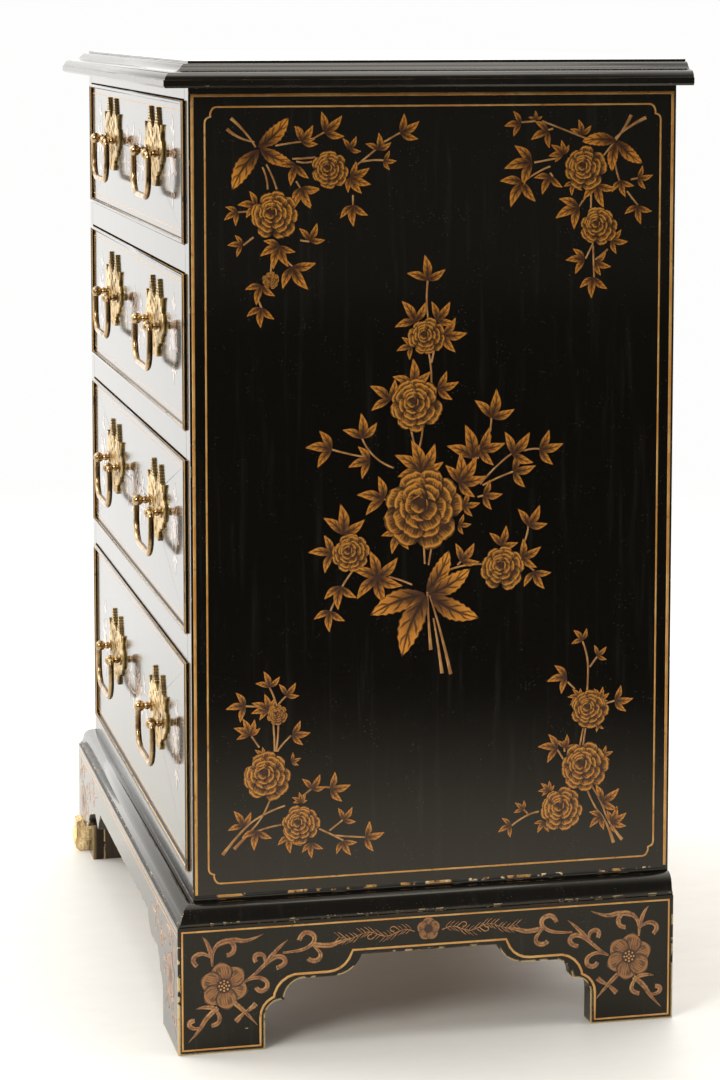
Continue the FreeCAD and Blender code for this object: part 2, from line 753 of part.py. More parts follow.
def post(name, post_x, pull_z):
    """A turned post with flange, bead and ball; its shank runs through the front, its ball is bored for the pin."""
    body = new_body(name)
    profile = new_sketch(body, name + "_profile", "XY_Plane")
    plate = -S.plate_thickness
    flange = plate - S.flange_height
    ball_side = (S.ball_radius * S.ball_radius - S.neck_radius * S.neck_radius).number ** 0.5
    bead_side = (S.bead_radius * S.bead_radius - S.neck_radius * S.neck_radius).number ** 0.5
    bead = -S.bead_stand
    ball = -S.ball_stand
    corners = [(ZERO, S.shank_length), (-S.shank_radius, S.shank_length), (-S.shank_radius, plate),
               (-S.flange_radius, plate), (-S.flange_radius, flange), (-S.neck_radius, flange),
               (-S.neck_radius, bead + bead_side), (-S.neck_radius, bead - bead_side),
               (-S.neck_radius, ball + ball_side), (ZERO, ball - S.ball_radius)]
    outline(profile, corners, {6: (S.bead_radius, 1), 8: (S.ball_radius, 1)})
    turned = body.newObject("PartDesign::Revolution", name + "_turned")
    turned.Profile = (profile, [""])
    turned.ReferenceAxis = (profile, ["V_Axis"])
    turned.Angle = 360
    bore = new_sketch(body, name + "_bore", "YZ_Plane", S.ball_radius + 1)
    circle(bore, (ball, ZERO), S.pin_radius + S.pin_clearance)
    pocket(body, bore, S.pin_length + S.ball_clearance + S.bore_spare)
    return placed(body, post_x, front_y, pull_z)


def nut(name, post_x, pull_z):
    """The square nut that clamps a post from inside the drawer."""
    half = S.nut_width / 2
    low_y = front_y + S.front_thickness
    block = box(name + "_block", (post_x - half, low_y, pull_z - half), (post_x + half, low_y + S.nut_height,
                                                                        pull_z + half))
    hole = doc.addObject("Part::Cylinder", name + "_hole")
    bind(hole, "Radius", S.shank_radius)
    bind(hole, "Height", S.nut_height + 2)
    hole.Placement.Rotation = FreeCAD.Rotation(FreeCAD.Vector(1, 0, 0), -90)
    placed(hole, post_x, low_y - 1, pull_z)
    return cut(name, block, [hole])


def bail(name, pull_x, pull_z):
    """A bent rod hung from two pins; its body's origin is on the hinge line."""
    body = new_body(name)
    start = S.post_spacing / 2 + S.ball_radius + S.ball_clearance
    arm = S.post_spacing / 2 + S.bail_arm_offset
    elbow = S.bail_elbow
    corner = S.bail_corner
    drop = S.bail_drop
    path = new_sketch(body, name + "_path", "XZ_Plane")
    corners = [(start, ZERO), (arm - elbow, ZERO), (arm, -elbow), (arm, corner - drop), (arm - corner, -drop),
               (corner - arm, -drop), (-arm, corner - drop), (-arm, -elbow), (elbow - arm, ZERO), (-start, ZERO)]
    outline(path, corners, {1: (elbow, -1), 3: (corner, -1), 5: (corner, -1), 7: (elbow, -1)}, closed=False)
    section = new_sketch(body, name + "_section", "YZ_Plane", start)
    circle(section, (ZERO, ZERO), S.bail_radius)
    rod = body.newObject("PartDesign::AdditivePipe", name + "_rod")
    rod.Profile = (section, [""])
    rod.Spine = (path, ["Edge%d" % (number + 1) for number in range(len(corners) - 1)])
    for hand, sign in (("right", 1), ("left", -1)):
        root = new_sketch(body, "%s_pin_%s" % (name, hand), "YZ_Plane", sign * (start + 0.5))
        circle(root, (ZERO, ZERO), S.pin_radius)
        pad(body, root, S.pin_length + 0.5, backwards=sign > 0)
    return placed(body, pull_x, front_y - S.ball_stand, pull_z)


def drawer(number, low, high):
    name = "drawer_%d" % number
    gap = S.drawer_gap
    side_low = low + S.drawer_lift
    side_high = high - S.drawer_headroom
    pull_z = (low + high) / 2 + S.pull_raise
    count = 3 if number < 4 else 4
    drawer_front(name + "_front", low + gap, high - gap, side_low, side_high, count, pull_z)
    right = keep(drawer_side(name + "_side_right", side_low, side_high, count), name + "_side_right")
    keep(mirrored(name + "_side_left_copy", right), name + "_side_left")
    inner = inner_half - gap - S.drawer_wall
    end = front_y + drawer_length - S.back_setback
    floor_low = side_low + S.floor_rise
    floor_high = floor_low + S.drawer_floor
    keep(box(name + "_back_board", (-inner, end - S.drawer_wall, floor_high), (inner, end, side_high - S.back_drop)),
         name + "_back")
    reach = inner + S.groove_depth - S.groove_clearance
    groove_end = front_y + S.front_thickness - S.groove_depth + S.groove_clearance
    floor = box(name + "_floor_panel", (-reach, front_y + S.front_thickness, floor_low), (reach, end, floor_high))
    tongue = box(name + "_floor_tongue", (S.groove_clearance - inner, groove_end, floor_low),
                 (inner - S.groove_clearance, front_y + S.front_thickness + 1, floor_high))
    keep(joined(name + "_floor_joined", [floor, tongue]), name + "_floor")
    cockbead(name + "_cockbead", low + gap, high - gap)
    plate = backplate(name + "_plate_right", S.pull_spread, pull_z)
    keep(group(name + "_plates", [plate, mirrored(name + "_plate_left", plate)]), name + "_backplates")
    post_x = S.pull_spread + S.post_spacing / 2
    outer_post = post(name + "_post", post_x, pull_z)
    outer_nut = nut(name + "_nut", post_x, pull_z)
    inner_post = mirrored(name + "_post_inner", outer_post, S.pull_spread)
    inner_nut = mirrored(name + "_nut_inner", outer_nut, S.pull_spread)
    right_posts = [outer_post, outer_nut, inner_post, inner_nut]
    left_posts = [mirrored("%s_left_%d" % (piece.Name, number), piece) for piece in right_posts]
    keep(group(name + "_posts", right_posts + left_posts), name + "_posts")
    right_bail = keep(bail(name + "_bail_body", S.pull_spread, pull_z), name + "_bail_right")
    keep(mirrored(name + "_bail_copy", right_bail), name + "_bail_left")


# ---------------------------------------------------------------- the whole chest
def check_and_write():
    doc.recompute()
    faults = [item.Name for item in doc.Objects if "Invalid" in item.State or "Error" in item.State]
    faults += [piece.Label for piece in nodes if piece.Shape.isNull() or not piece.Shape.isValid()]
    if faults:
        raise RuntimeError("these did not build: " + ", ".join(faults))
    os.makedirs("parts", exist_ok=True)
    for piece in nodes:
        piece.Shape.exportStep("parts/%s.step" % piece.Label)
    print(len(nodes), "pieces written")


carcass()
top_slab()
base_mouldings()
plinth_front()
plinth_side("plinth_right", broken=False)
plinth_side("plinth_left", broken=True)
plinth_back()
corner_blocks()
for number, (low, high) in enumerate(openings, start=1):
    drawer(number, low, high)
check_and_write()
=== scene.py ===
"""Looks of a small four-drawer chest in black lacquer with gilt flower sprays and brass pulls.

Metres, +Z up, the drawers face -Y. The drawing lists are in millimetres on the face they are painted on.
"""
import math
import random

import bmesh
import bpy
from mathutils import Euler, Matrix, Vector


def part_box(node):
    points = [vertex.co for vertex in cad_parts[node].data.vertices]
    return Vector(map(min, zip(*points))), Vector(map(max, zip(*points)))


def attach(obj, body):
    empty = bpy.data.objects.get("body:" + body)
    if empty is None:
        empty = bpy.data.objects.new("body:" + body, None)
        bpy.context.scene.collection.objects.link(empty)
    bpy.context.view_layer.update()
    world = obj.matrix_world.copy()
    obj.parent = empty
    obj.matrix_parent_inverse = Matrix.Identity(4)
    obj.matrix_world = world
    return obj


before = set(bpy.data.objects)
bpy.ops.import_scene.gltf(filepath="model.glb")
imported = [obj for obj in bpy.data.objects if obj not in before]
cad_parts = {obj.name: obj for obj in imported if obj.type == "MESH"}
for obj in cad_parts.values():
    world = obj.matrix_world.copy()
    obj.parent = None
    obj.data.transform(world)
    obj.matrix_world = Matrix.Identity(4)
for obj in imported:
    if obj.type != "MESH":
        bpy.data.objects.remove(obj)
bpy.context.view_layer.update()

MM = 0.001
DRAWERS = ("drawer_1", "drawer_2", "drawer_3", "drawer_4")

side_low, side_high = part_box("case_side_right")
plinth_low, plinth_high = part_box("plinth_right")
BEAD_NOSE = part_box("drawer_1_cockbead")[0].y
PLINTH_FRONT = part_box("plinth_front")[0].y


# ---------------------------------------------------------------- camera, floor and light
WHITE = (0.985, 0.985, 0.98)
ROOM_LIGHT = (1.72, 1.705, 1.67)
ROOM_DIM = (0.135, 0.130, 0.122)
# painted shade: the far floor's glow towards +X, as reflections see it
FLOOR_DIM = (0.030, 0.028, 0.025)
LENS = 98.53
LENS_SHIFT = -0.20
EYE = (2.4733, -0.5475, 0.7991)
EYE_DOWN = 0.1055
EYE_ROUND = 0.2221


def view_camera():
    lens = bpy.data.cameras.new("view")
    lens.sensor_width = 36
    lens.lens = LENS
    lens.shift_y = LENS_SHIFT
    camera = bpy.data.objects.new("view", lens)
    camera.location = EYE
    camera.rotation_euler = Euler((math.pi / 2 - EYE_DOWN, 0, math.pi / 2 - EYE_ROUND))
    bpy.context.scene.collection.objects.link(camera)
    bpy.context.scene.camera = camera
    bpy.context.scene.view_settings.view_transform = "Standard"


def soft_light(name, place, target, size, power, colour=(1, 1, 1)):
    light = bpy.data.lights.new(name, "AREA")
    light.shape = "DISK"
    light.size = size
    light.energy = power
    light.color = colour
    lamp = bpy.data.objects.new(name, light)
    lamp.location = place
    lamp.rotation_euler = (Vector(target) - Vector(place)).to_track_quat("-Z", "Y").to_euler()
    bpy.context.scene.collection.objects.link(lamp)


def studio():
    """A white studio that is dim on the side the viewer stands."""
    world = bpy.data.worlds.new("studio")
    bpy.context.scene.world = world
    world.use_nodes = True
    tree = world.node_tree
    tree.nodes.clear()
    out = tree.nodes.new("ShaderNodeOutputWorld")
    start = Wire(tree, None)
    way = start.node("ShaderNodeTexCoord", outlet="Generated")
    room = way.part("X").between(-0.35, 0.75).mix(ROOM_LIGHT, ROOM_DIM)
    seen = start.node("ShaderNodeLightPath", outlet="Is Camera Ray")
    light = start.node("ShaderNodeBackground", wires={"Color": seen.mix(room, WHITE), "Strength": 1.0})
    tree.links.new(light.socket, out.inputs["Surface"])
    soft_light("key", (-1.3, -2.6, 2.6), (0, 0, 0.5), 1.8, 40)
    soft_light("top", (0.2, 0.4, 3.2), (0, 0, 0), 2.2, 22)
    soft_light("side", (2.0, -2.2, 1.7), (0.28, 0, 0.45), 1.2, 46, (1, 0.97, 0.93))


# ---------------------------------------------------------------- shader wiring
class Wire:
    """A socket in a node tree; arithmetic on it adds Math nodes."""

    def __init__(self, tree, socket):
        self.tree = tree
        self.socket = socket

    def node(self, kind, settings=None, wires=None, outlet=0):
        """Add a node: its settings first, then values or links on its sockets."""
        node = self.tree.nodes.new(kind)
        for name, setting in (settings or {}).items():
            setattr(node, name, setting)
        for name, value in (wires or {}).items():
            if isinstance(value, Wire):
                self.tree.links.new(value.socket, node.inputs[name])
            elif isinstance(value, tuple) and len(value) == 3 and node.inputs[name].type == "RGBA":
                node.inputs[name].default_value = (*value, 1)
            else:
                node.inputs[name].default_value = value
        return Wire(self.tree, node.outputs[outlet])

    def math(self, operation, first, second=0.0, clamp=False):
        settings = {"operation": operation, "use_clamp": clamp}
        return self.node("ShaderNodeMath", settings, {0: first, 1: second})

    def __add__(self, other):
        return self.math("ADD", self, other)

    def __sub__(self, other):
        return self.math("SUBTRACT", self, other)

    def __mul__(self, other):
        return self.math("MULTIPLY", self, other)

    def __radd__(self, other):
        return self.math("ADD", other, self)

    def __rsub__(self, other):
        return self.math("SUBTRACT", other, self)

    def __rmul__(self, other):
        return self.math("MULTIPLY", other, self)

    def __abs__(self):
        return self.math("ABSOLUTE", self)

    def over(self, edge):
        return self.math("GREATER_THAN", self, edge)

    def under(self, edge):
        return self.math("LESS_THAN", self, edge)

    def larger(self, other):
        return self.math("MAXIMUM", self, other)

    def fraction(self):
        return self.math("FRACT", self)

    def clamped(self):
        return self.math("ADD", self, 0.0, clamp=True)

    def between(self, low, high):
        """0 below low, 1 above high, and smooth between them."""
        settings = {"interpolation_type": "SMOOTHSTEP"}
        wires = {"Value": self, "From Min": low, "From Max": high}
        return self.node("ShaderNodeMapRange", settings, wires)

    def mix(self, low, high):
        """A colour from low where this wire is 0 to high where it is 1."""
        return self.node("ShaderNodeMix", {"data_type": "RGBA"}, {0: self, 6: low, 7: high}, 2)

    def stretched(self, x, y, z):
        return self.node("ShaderNodeVectorMath", {"operation": "MULTIPLY"}, {0: self, 1: (x, y, z)})

    def part(self, axis):
        return self.node("ShaderNodeSeparateXYZ", wires={0: self}, outlet=axis)

    def noise(self, scale, detail=2.0, roughness=0.5):
        wires = {"Vector": self, "Scale": scale, "Detail": detail, "Roughness": roughness}
        return self.node("ShaderNodeTexNoise", wires=wires)

    def cells(self, scale):
        return self.node("ShaderNodeTexVoronoi", wires={"Vector": self, "Scale": scale})

    def normal(self):
        """The true normal of the surface."""
        return self.node("ShaderNodeNewGeometry", outlet="Normal")

    def bump(self, height, distance):
        return self.node("ShaderNodeBump", wires={"Height": height, "Distance": distance, "Strength": 1.0})


def blank(name):
    """A new material, the wire of its object coordinates, and its shader."""
    material = bpy.data.materials.new(name)
    material.use_nodes = True
    tree = material.node_tree
    tree.nodes.clear()
    out = tree.nodes.new("ShaderNodeOutputMaterial")
    shader = tree.nodes.new("ShaderNodeBsdfPrincipled")
    tree.links.new(shader.outputs[0], out.inputs[0])
    place = Wire(tree, None).node("ShaderNodeTexCoord", outlet="Object")
    return material, place, shader


def fed(material, shader, colour, roughness, normal=None, metallic=0.0, coat=0.0, coat_roughness=0.1):
    """Wire up a shader: what varies is linked, and what does not is set on its socket."""
    tree = material.node_tree
    inputs = {"Base Color": colour, "Roughness": roughness, "Normal": normal, "Metallic": metallic}
    for name, value in inputs.items():
        if isinstance(value, Wire):
            tree.links.new(value.socket, shader.inputs[name])
        elif value is not None:
            shader.inputs[name].default_value = (*value, 1) if isinstance(value, tuple) else value
    shader.inputs["Coat Weight"].default_value = coat
    shader.inputs["Coat Roughness"].default_value = coat_roughness
    return material


def edge_wear(place, radius):
    """1 on sharp edges, fading to 0 a radius away."""
    soft = place.node("ShaderNodeBevel", {"samples": 6}, {"Radius": radius})
    facing = place.node("ShaderNodeVectorMath", {"operation": "DOT_PRODUCT"}, {0: soft, 1: place.normal()},
                        "Value")
    return (1 - facing).between(0.01, 0.22)


# ---------------------------------------------------------------- finishes
GESSO = (0.80, 0.62, 0.33)
LACQUER = (0.0042, 0.0037, 0.0031)
# painted shade for the back of the broken foot
RECESS_SHADE = (0.020, 0.012, 0.006)
FOOT_TOP = 0.075
PLINTH_TOP = 0.086
SNAPPED_X = -0.236
SNAPPED_Y = -0.183
BULGE_X = -0.23
BULGE_Y = -0.1991
BARE_HEIGHT = 0.040


def foot_chips(place):
    """More chips the lower on a foot, most along the floor, and few above the brackets."""
    height = place.part("Z")
    low = (1 - height.between(0.006, FOOT_TOP)) * 0.165
    return low + (1 - height.between(0.002, 0.008)) * 0.09 - height.over(PLINTH_TOP) * 0.2


def snapped_end(place):
    """Where the front left foot is snapped off and bare, and its colour: bare wood with painted shade deep in
    the break.
    """
    x, y, height = (place.part(axis) for axis in "XYZ")
    facing = place.normal()
    skin = (-1 * facing.part("Y")).larger(-1 * facing.part("X")).over(0.93)
    end = x.under(SNAPPED_X) * y.under(SNAPPED_Y) * (1 - skin)
    bulge = y.under(BULGE_Y) * x.under(BULGE_X)
    bare = (end.larger(bulge) * (height + place.noise(90.0) * 0.012).under(BARE_HEIGHT)).clamped()
    fibre = place.stretched(260, 260, 60).noise(1.0, 5.0, 0.7)
    wood = fibre.between(0.34, 0.72).mix((0.95, 0.74, 0.38), (0.50, 0.27, 0.08))
    # painted shade: the bare wood turns near black towards the back of the break, where shade falls inside
    # the foot
    return bare, (y * -1).between(0.188, 0.197).mix(RECESS_SHADE, wood)


def gilded(place, edge):
    """Gold on a bead's arrises and on the flanks of its nose, worn through in places."""
    turned = 1 - abs(place.normal().part("Y"))
    nose = place.part("Y").under(BEAD_NOSE + 1.5 * MM)
    gold = (edge * 0.9).larger(turned.between(0.25, 0.5) * nose)
    return (gold - place.noise(60.0, 3.0).between(0.54, 0.68) * 0.75).between(0.15, 0.4)


def black_lacquer(name, chips=0.62, wear_radius=1.6 * MM, gilt_edges=False, torn=False, dull_front=0.0):
    """Old black lacquer: mirror gloss with polishing streaks, dust, rubbed arrises and small chips."""
    material, place, shader = blank(name)
    streaks = place.stretched(150, 150, 9).noise(1.0, 4.0, 0.6)
    dust = place.cells(420.0).under(0.11) * place.noise(60.0).between(0.50, 0.62)
    edge = edge_wear(place, wear_radius)
    rubbed = edge * place.noise(30.0, 3.0).between(0.38, 0.62)
    grit = place.noise(95.0, 4.0, 0.6)
    if torn:
        grit = grit + foot_chips(place)
    chipped = edge.over(0.10 if torn else 0.20) * grit.over(chips)
    if torn:
        chipped = chipped.larger(place.cells(44.0).under(0.10) * place.noise(19.0).over(0.585))
    ground = place.noise(7.0, 3.0).mix(LACQUER, (0.0066, 0.0056, 0.0044))
    ground = (streaks.between(0.52, 0.78) * 0.5).mix(ground, (0.022, 0.020, 0.017))
    colour = (rubbed * 0.55).mix(ground, (0.11, 0.062, 0.026))
    if gilt_edges:
        colour = gilded(place, edge).mix(colour, (0.62, 0.36, 0.125))
    chalk = place.noise(220.0).mix(GESSO, (0.62, 0.43, 0.19))
    colour = chipped.mix((dust * 0.35).mix(colour, (0.30, 0.27, 0.22)), chalk)
    rough = 0.07 + streaks * 0.07 + dust * 0.3 + rubbed * 0.22 + chipped * 0.55
    if dull_front:
        rough = rough + (place.normal().part("Y") * -1).between(0.1, 0.5) * dull_front
    if torn:
        bare, wood = snapped_end(place)
        colour = bare.mix(colour, wood)
        rough = rough + bare * 0.6
        shader.inputs["IOR"].default_value = 1.38
    shader.inputs["Specular Tint"].default_value = (1.0, 0.92, 0.76, 1)
    waves = place.noise(26.0, 2.0) * 0.5 + streaks * 0.09 - chipped * 2.4
    return fed(material, shader, colour, rough, place.bump(waves, 0.12 * MM), coat=0.05, coat_roughness=0.05)


JOINT_FOOT = 0.1178
JOINT_TOP = 0.1212


def gilt_line(name):
    """A painted gold line: pale and orange by turns, thin in places, and flaked just above the moulding."""
    material, place, shader = blank(name)
    worn = place.noise(55.0, 4.0, 0.6).between(0.36, 0.70)
    colour = worn.mix((0.60, 0.27, 0.052), (0.74, 0.42, 0.125))
    thin = place.noise(240.0, 3.0).between(0.60, 0.74)
    colour = (thin * 0.55).mix(colour, (0.16, 0.075, 0.022))
    joint = place.part("Z").under(JOINT_TOP) * place.part("Z").over(JOINT_FOOT)
    colour = (joint * place.noise(42.0, 4.0, 0.65).between(0.40, 0.46)).mix(colour, LACQUER)
    colour = (joint * place.noise(130.0, 3.0).over(0.63)).mix(colour, GESSO)
    rough = 0.30 + worn * 0.2
    return fed(material, shader, colour, rough, place.bump(place.noise(500.0), 0.03 * MM), coat=0.15)


def painted(name, veins, rim, light, deep, dusk, varnish=0.12):
    """Gold paint worked with a fine dark brush: dark at the root, veined, and outlined."""
    material, place, shader = blank(name)
    drawn = place.node("ShaderNodeUVMap")
    across = abs(drawn.part("X") - 0.5) * 2
    along = drawn.part("Y")
    tone = place.noise(160.0, 3.0)
    hatch = drawn.stretched(*((34, 5, 0) if veins else (30, 2.4, 0))).noise(1.0, 1.5)
    if veins:
        dark = (1 - along) * 0.95 + (1 - across) * 0.28 + tone * 0.35 + hatch * 0.40
        rib = 1 - across.between(0.06, 0.17)
        side = 1 - abs((along * veins - across * 1.1).fraction() - 0.5).between(0.08, 0.17)
        side = side * across.between(0.02, 0.2) * (1 - across.between(0.66, 0.9))
        ink = rib.larger(side * 0.9)
    else:
        dark = (1 - along) + tone * 0.30
        ink = hatch.between(0.47, 0.54) * (1 - along.between(0.70, 0.90)) * 0.85
    shade = dark.between(*dusk)
    outline = across.between(1 - rim, 1 - rim * 0.4).larger(along.between(1 - rim * 0.5, 1 - rim * 0.2))
    gold = place.noise(34.0, 2.0).mix(light, deep)
    colour = shade.mix(gold, (0.075, 0.024, 0.005))
    colour = (ink * 0.88).mix(colour, (0.020, 0.009, 0.004))
    colour = (outline * 0.88).mix(colour, (0.016, 0.008, 0.004))
    normal = place.bump(hatch, 0.03 * MM)
    return fed(material, shader, colour, 0.34 + shade * 0.1, normal, coat=varnish, coat_roughness=0.1)


def stem_paint(name, varnish=0.0):
    material, place, shader = blank(name)
    tone = place.noise(120.0, 3.0)
    colour = tone.between(0.35, 0.65).mix((0.56, 0.29, 0.10), (0.34, 0.14, 0.035))
    return fed(material, shader, colour, 0.34 + tone * 0.15, place.bump(tone, 0.03 * MM), coat=varnish)


def scroll_paint(name):
    """Brown-gold scrollwork with darker brush strokes through it."""
    material, place, shader = blank(name)
    tone = place.noise(150.0, 3.0)
    colour = tone.between(0.32, 0.7).mix((0.52, 0.245, 0.070), (0.30, 0.105, 0.026))
    colour = (place.noise(420.0, 2.0).between(0.54, 0.64) * 0.65).mix(colour, (0.05, 0.018, 0.006))
    return fed(material, shader, colour, 0.33 + tone * 0.15, place.bump(tone, 0.03 * MM), coat=0.5)


def dark_paint(name):
    material, place, shader = blank(name)
    tone = place.noise(300.0, 2.0)
    colour = tone.mix((0.030, 0.012, 0.005), (0.075, 0.030, 0.010))
    return fed(material, shader, colour, 0.3 + tone * 0.15, place.bump(tone, 0.02 * MM))


RIDGES_PER_METRE = 430
FINIAL_LENGTH = 14 * MM


def aged_brass(name, tip):
    """Cast brass: bright where hands rub it, brown in the hollows, and ridged across the finials."""
    material, place, shader = blank(name)
    ridge = abs((place.part("Z") * RIDGES_PER_METRE).fraction() - 0.5) * 2
    finial = place.part("Z").over(tip - FINIAL_LENGTH)
    cast = place.noise(330.0, 4.0, 0.6)
    patina = place.noise(60.0, 4.0, 0.6)
    edge = edge_wear(place, 0.9 * MM)
    dark = (patina.between(0.38, 0.66) * 0.8 + cast.between(0.5, 0.7) * 0.25 - edge * 0.7).clamped()
    dark = dark.larger((1 - ridge.between(0.15, 0.75)) * finial * 0.9)
    colour = cast.mix((0.78, 0.56, 0.23), (0.58, 0.38, 0.13))
    colour = dark.mix(colour, (0.13, 0.078, 0.030))
    colour = (edge * 0.5).mix(colour, (0.72, 0.56, 0.30))
    rough = 0.24 + dark * 0.28 + cast * 0.12
    normal = place.bump(cast + patina * 0.6 + ridge * finial * 7, 0.10 * MM)
    return fed(material, shader, colour, rough, normal, metallic=1.0 - dark * 0.35)


def rubbed_brass(name):
    """Brass kept pale and bright by the hand, with brown left in its low spots."""
    material, place, shader = blank(name)
    worn = place.noise(75.0, 4.0, 0.6)
    edge = edge_wear(place, 0.8 * MM)
    dark = (worn.between(0.46, 0.70) * 0.8 - edge * 0.5).clamped()
    colour = worn.mix((0.50, 0.36, 0.20), (0.33, 0.215, 0.10))
    colour = dark.mix(colour, (0.125, 0.075, 0.036))
    return fed(material, shader, colour, 0.22 + dark * 0.20, place.bump(worn, 0.10 * MM), metallic=1.0)


def board_wood(name, light, dark, grain, gloss):
    """Plain sawn wood with the grain along X, Y or Z."""
    material, place, shader = blank(name)
    fine, rings = (place.stretched(*[along if axis == grain else across for axis in "xyz"])
                   for along, across in ((6.0, 190.0), (0.9, 17.0)))
    fine = fine.noise(1.0, 5.0, 0.65)
    rings = rings.noise(1.0, 3.0)
    bands = (rings * 9).fraction().between(0.15, 0.85)
    colour = (bands * 0.5 + fine * 0.6).clamped().mix(light, dark)
    soil = place.noise(11.0, 4.0).between(0.5, 0.75)
    colour = (soil * 0.35).mix(colour, tuple(part * 0.45 for part in dark))
    return fed(material, shader, colour, gloss + fine * 0.2, place.bump(fine, 0.2 * MM))


def broken_wood(name):
    """Bare splintered wood, yellow where it is fresh."""
    material, place, shader = blank(name)
    fibre = place.stretched(70, 520, 520).noise(1.0, 5.0, 0.7)
    blotch = place.noise(65.0, 3.0)
    colour = fibre.between(0.36, 0.74).mix((0.95, 0.76, 0.42), (0.52, 0.29, 0.09))
    colour = (blotch.between(0.58, 0.72) * 0.8).mix(colour, (0.09, 0.045, 0.016))
    return fed(material, shader, colour, 0.75, place.bump(fibre, 0.7 * MM))


def pale_floor(name):
    """A pale scuffed floor that fades with distance into a painted glow: white to the camera, and to
    reflections and bounced light bright towards -X and painted dark towards +X.
    """
    material, place, shader = blank(name)
    scuff = place.stretched(3, 1.4, 1).noise(14.0, 6.0, 0.7)
    colour = scuff.between(0.30, 0.80).mix((0.885, 0.865, 0.815), (0.85, 0.83, 0.78))
    fed(material, shader, colour, 0.38 + scuff * 0.2, place.bump(scuff, 0.1 * MM))
    reach = place.node("ShaderNodeVectorMath", {"operation": "LENGTH"}, {0: place}, "Value")
    seen = place.node("ShaderNodeLightPath", outlet="Is Camera Ray")
    away = seen * reach.between(0.75, 2.6) + (1 - seen) * reach.between(0.45, 1.5)
    # painted light and painted shade: the far floor glows with the room's light towards -X and near black
    # towards +X
    room = place.part("X").between(-0.8, 1.2).mix(ROOM_LIGHT, FLOOR_DIM)
    painted_glow = place.node("ShaderNodeEmission", wires={"Color": seen.mix(room, WHITE)})
    near = Wire(place.tree, shader.outputs[0])
    whole = place.node("ShaderNodeMixShader", wires={0: away, 1: near, 2: painted_glow})
    out = next(node for node in place.tree.nodes if node.type == "OUTPUT_MATERIAL")
    place.tree.links.new(whole.socket, out.inputs[0])
    return material


# ---------------------------------------------------------------- painting on a face
class Face:
    """A flat face to paint on: across and up are in millimetres, and the lift is out of the face."""

    def __init__(self, across, up, out, origin, body):
        self.matrix = Matrix((across, up, out)).transposed().to_4x4()
        self.matrix.translation = Vector(origin)
        self.body = body

    def lay(self, painted_pieces):
        """Put drawn pieces on the face, and let them ride with the face's body."""
        for piece in painted_pieces:
            piece.data.transform(self.matrix @ Matrix.Scale(MM, 4))
            if self.matrix.determinant() < 0:
                piece.data.flip_normals()
            piece.data.update()
            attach(piece, self.body)


def clear_picks():
    bpy.ops.object.select_all(action="DESELECT")


def pick_points(piece, chosen):
    """In edit mode, select the points that a test chooses."""
    mesh = bmesh.from_edit_mesh(piece.data)
    for point in mesh.verts:
        point.select_set(chosen(point))
    mesh.select_flush(True)
    bmesh.update_edit_mesh(piece.data)


def brush_shape(name, columns, rows, widths, lean, drop=()):
    """A stroke one long along Y: its rows widened one by one and leant aside, its columns dropped."""
    clear_picks()
    bpy.ops.mesh.primitive_grid_add(x_subdivisions=columns, y_subdivisions=rows, size=1, calc_uvs=True)
    stroke = bpy.context.object
    stroke.name = name
    bpy.ops.object.mode_set(mode="EDIT")
    bpy.ops.transform.translate(value=(0, 0.5, 0))
    for column, depth in enumerate(drop):
        if depth:
            place = column / columns - 0.5
            pick_points(stroke, lambda point: abs(point.co.x - place) < 0.01)
            bpy.ops.transform.translate(value=(0, -depth, 0))
    per_row = columns + 1
    for row, width in enumerate(widths):
        pick_points(stroke, lambda point: point.index // per_row == row)
        bpy.ops.transform.resize(value=(width, 1, 1), center_override=(0, row / rows, 0))
        bpy.ops.transform.translate(value=(lean * math.sin(row / rows * math.pi), 0, 0))
    bpy.ops.object.mode_set(mode="OBJECT")
    clear_picks()
    return stroke


LEAF_WIDTHS = (0.10, 0.20, 0.30, 0.37, 0.40, 0.39, 0.34, 0.27, 0.18, 0.09, 0.01)
BLADE_WIDTHS = (0.05, 0.14, 0.23, 0.27, 0.34, 0.35, 0.41, 0.38, 0.42, 0.36, 0.38, 0.30, 0.31, 0.21, 0.18,
                0.08, 0.01)
PETAL_WIDTHS = (0.34, 0.58, 0.80, 0.96, 1.02, 0.96, 0.74)
PETAL_DROP = (0.27, 0.08, 0.03, 0.0, 0.06, 0.05, 0.25)
ROUND_WIDTHS = (0.26, 0.48, 0.70, 0.86, 0.92, 0.84, 0.56)
ROUND_DROP = (0.20, 0.09, 0.03, 0.0, 0.03, 0.09, 0.20)


def make_strokes():
    shapes = {"leaf": brush_shape("leaf_stroke", 4, 10, LEAF_WIDTHS, 0.08),
              "blade": brush_shape("blade_stroke", 4, 16, BLADE_WIDTHS, 0.06),
              "petal": brush_shape("petal_stroke", 6, 6, PETAL_WIDTHS, 0.0, PETAL_DROP),
              "round": brush_shape("round_stroke", 6, 6, ROUND_WIDTHS, 0.0, ROUND_DROP)}
    clear_picks()
    bpy.ops.mesh.primitive_circle_add(vertices=12, radius=1, fill_type="NGON", calc_uvs=True)
    shapes["dot"] = bpy.context.object
    clear_picks()
    return shapes


def stroke_at(stroke, across, up, angle, length, width, lift):
    """A copy of a stroke, in millimetres, whose root is at a place and whose tip is off at an angle."""
    copy = stroke.copy()
    copy.data = stroke.data.copy()
    turned = Matrix.Rotation(math.radians(angle - 90), 4, "Z") @ Matrix.Diagonal((width, length, 1, 1))
    copy.data.transform(Matrix.Translation((across, up, lift)) @ turned)
    bpy.context.scene.collection.objects.link(copy)
    return copy


PAINT_BODY = 0.05


def finished(piece, finish):
    """Give a piece the one finish it has, and let go of it."""
    piece.data.materials.clear()
    piece.data.materials.append(FINISH[finish])
    clear_picks()
    return piece


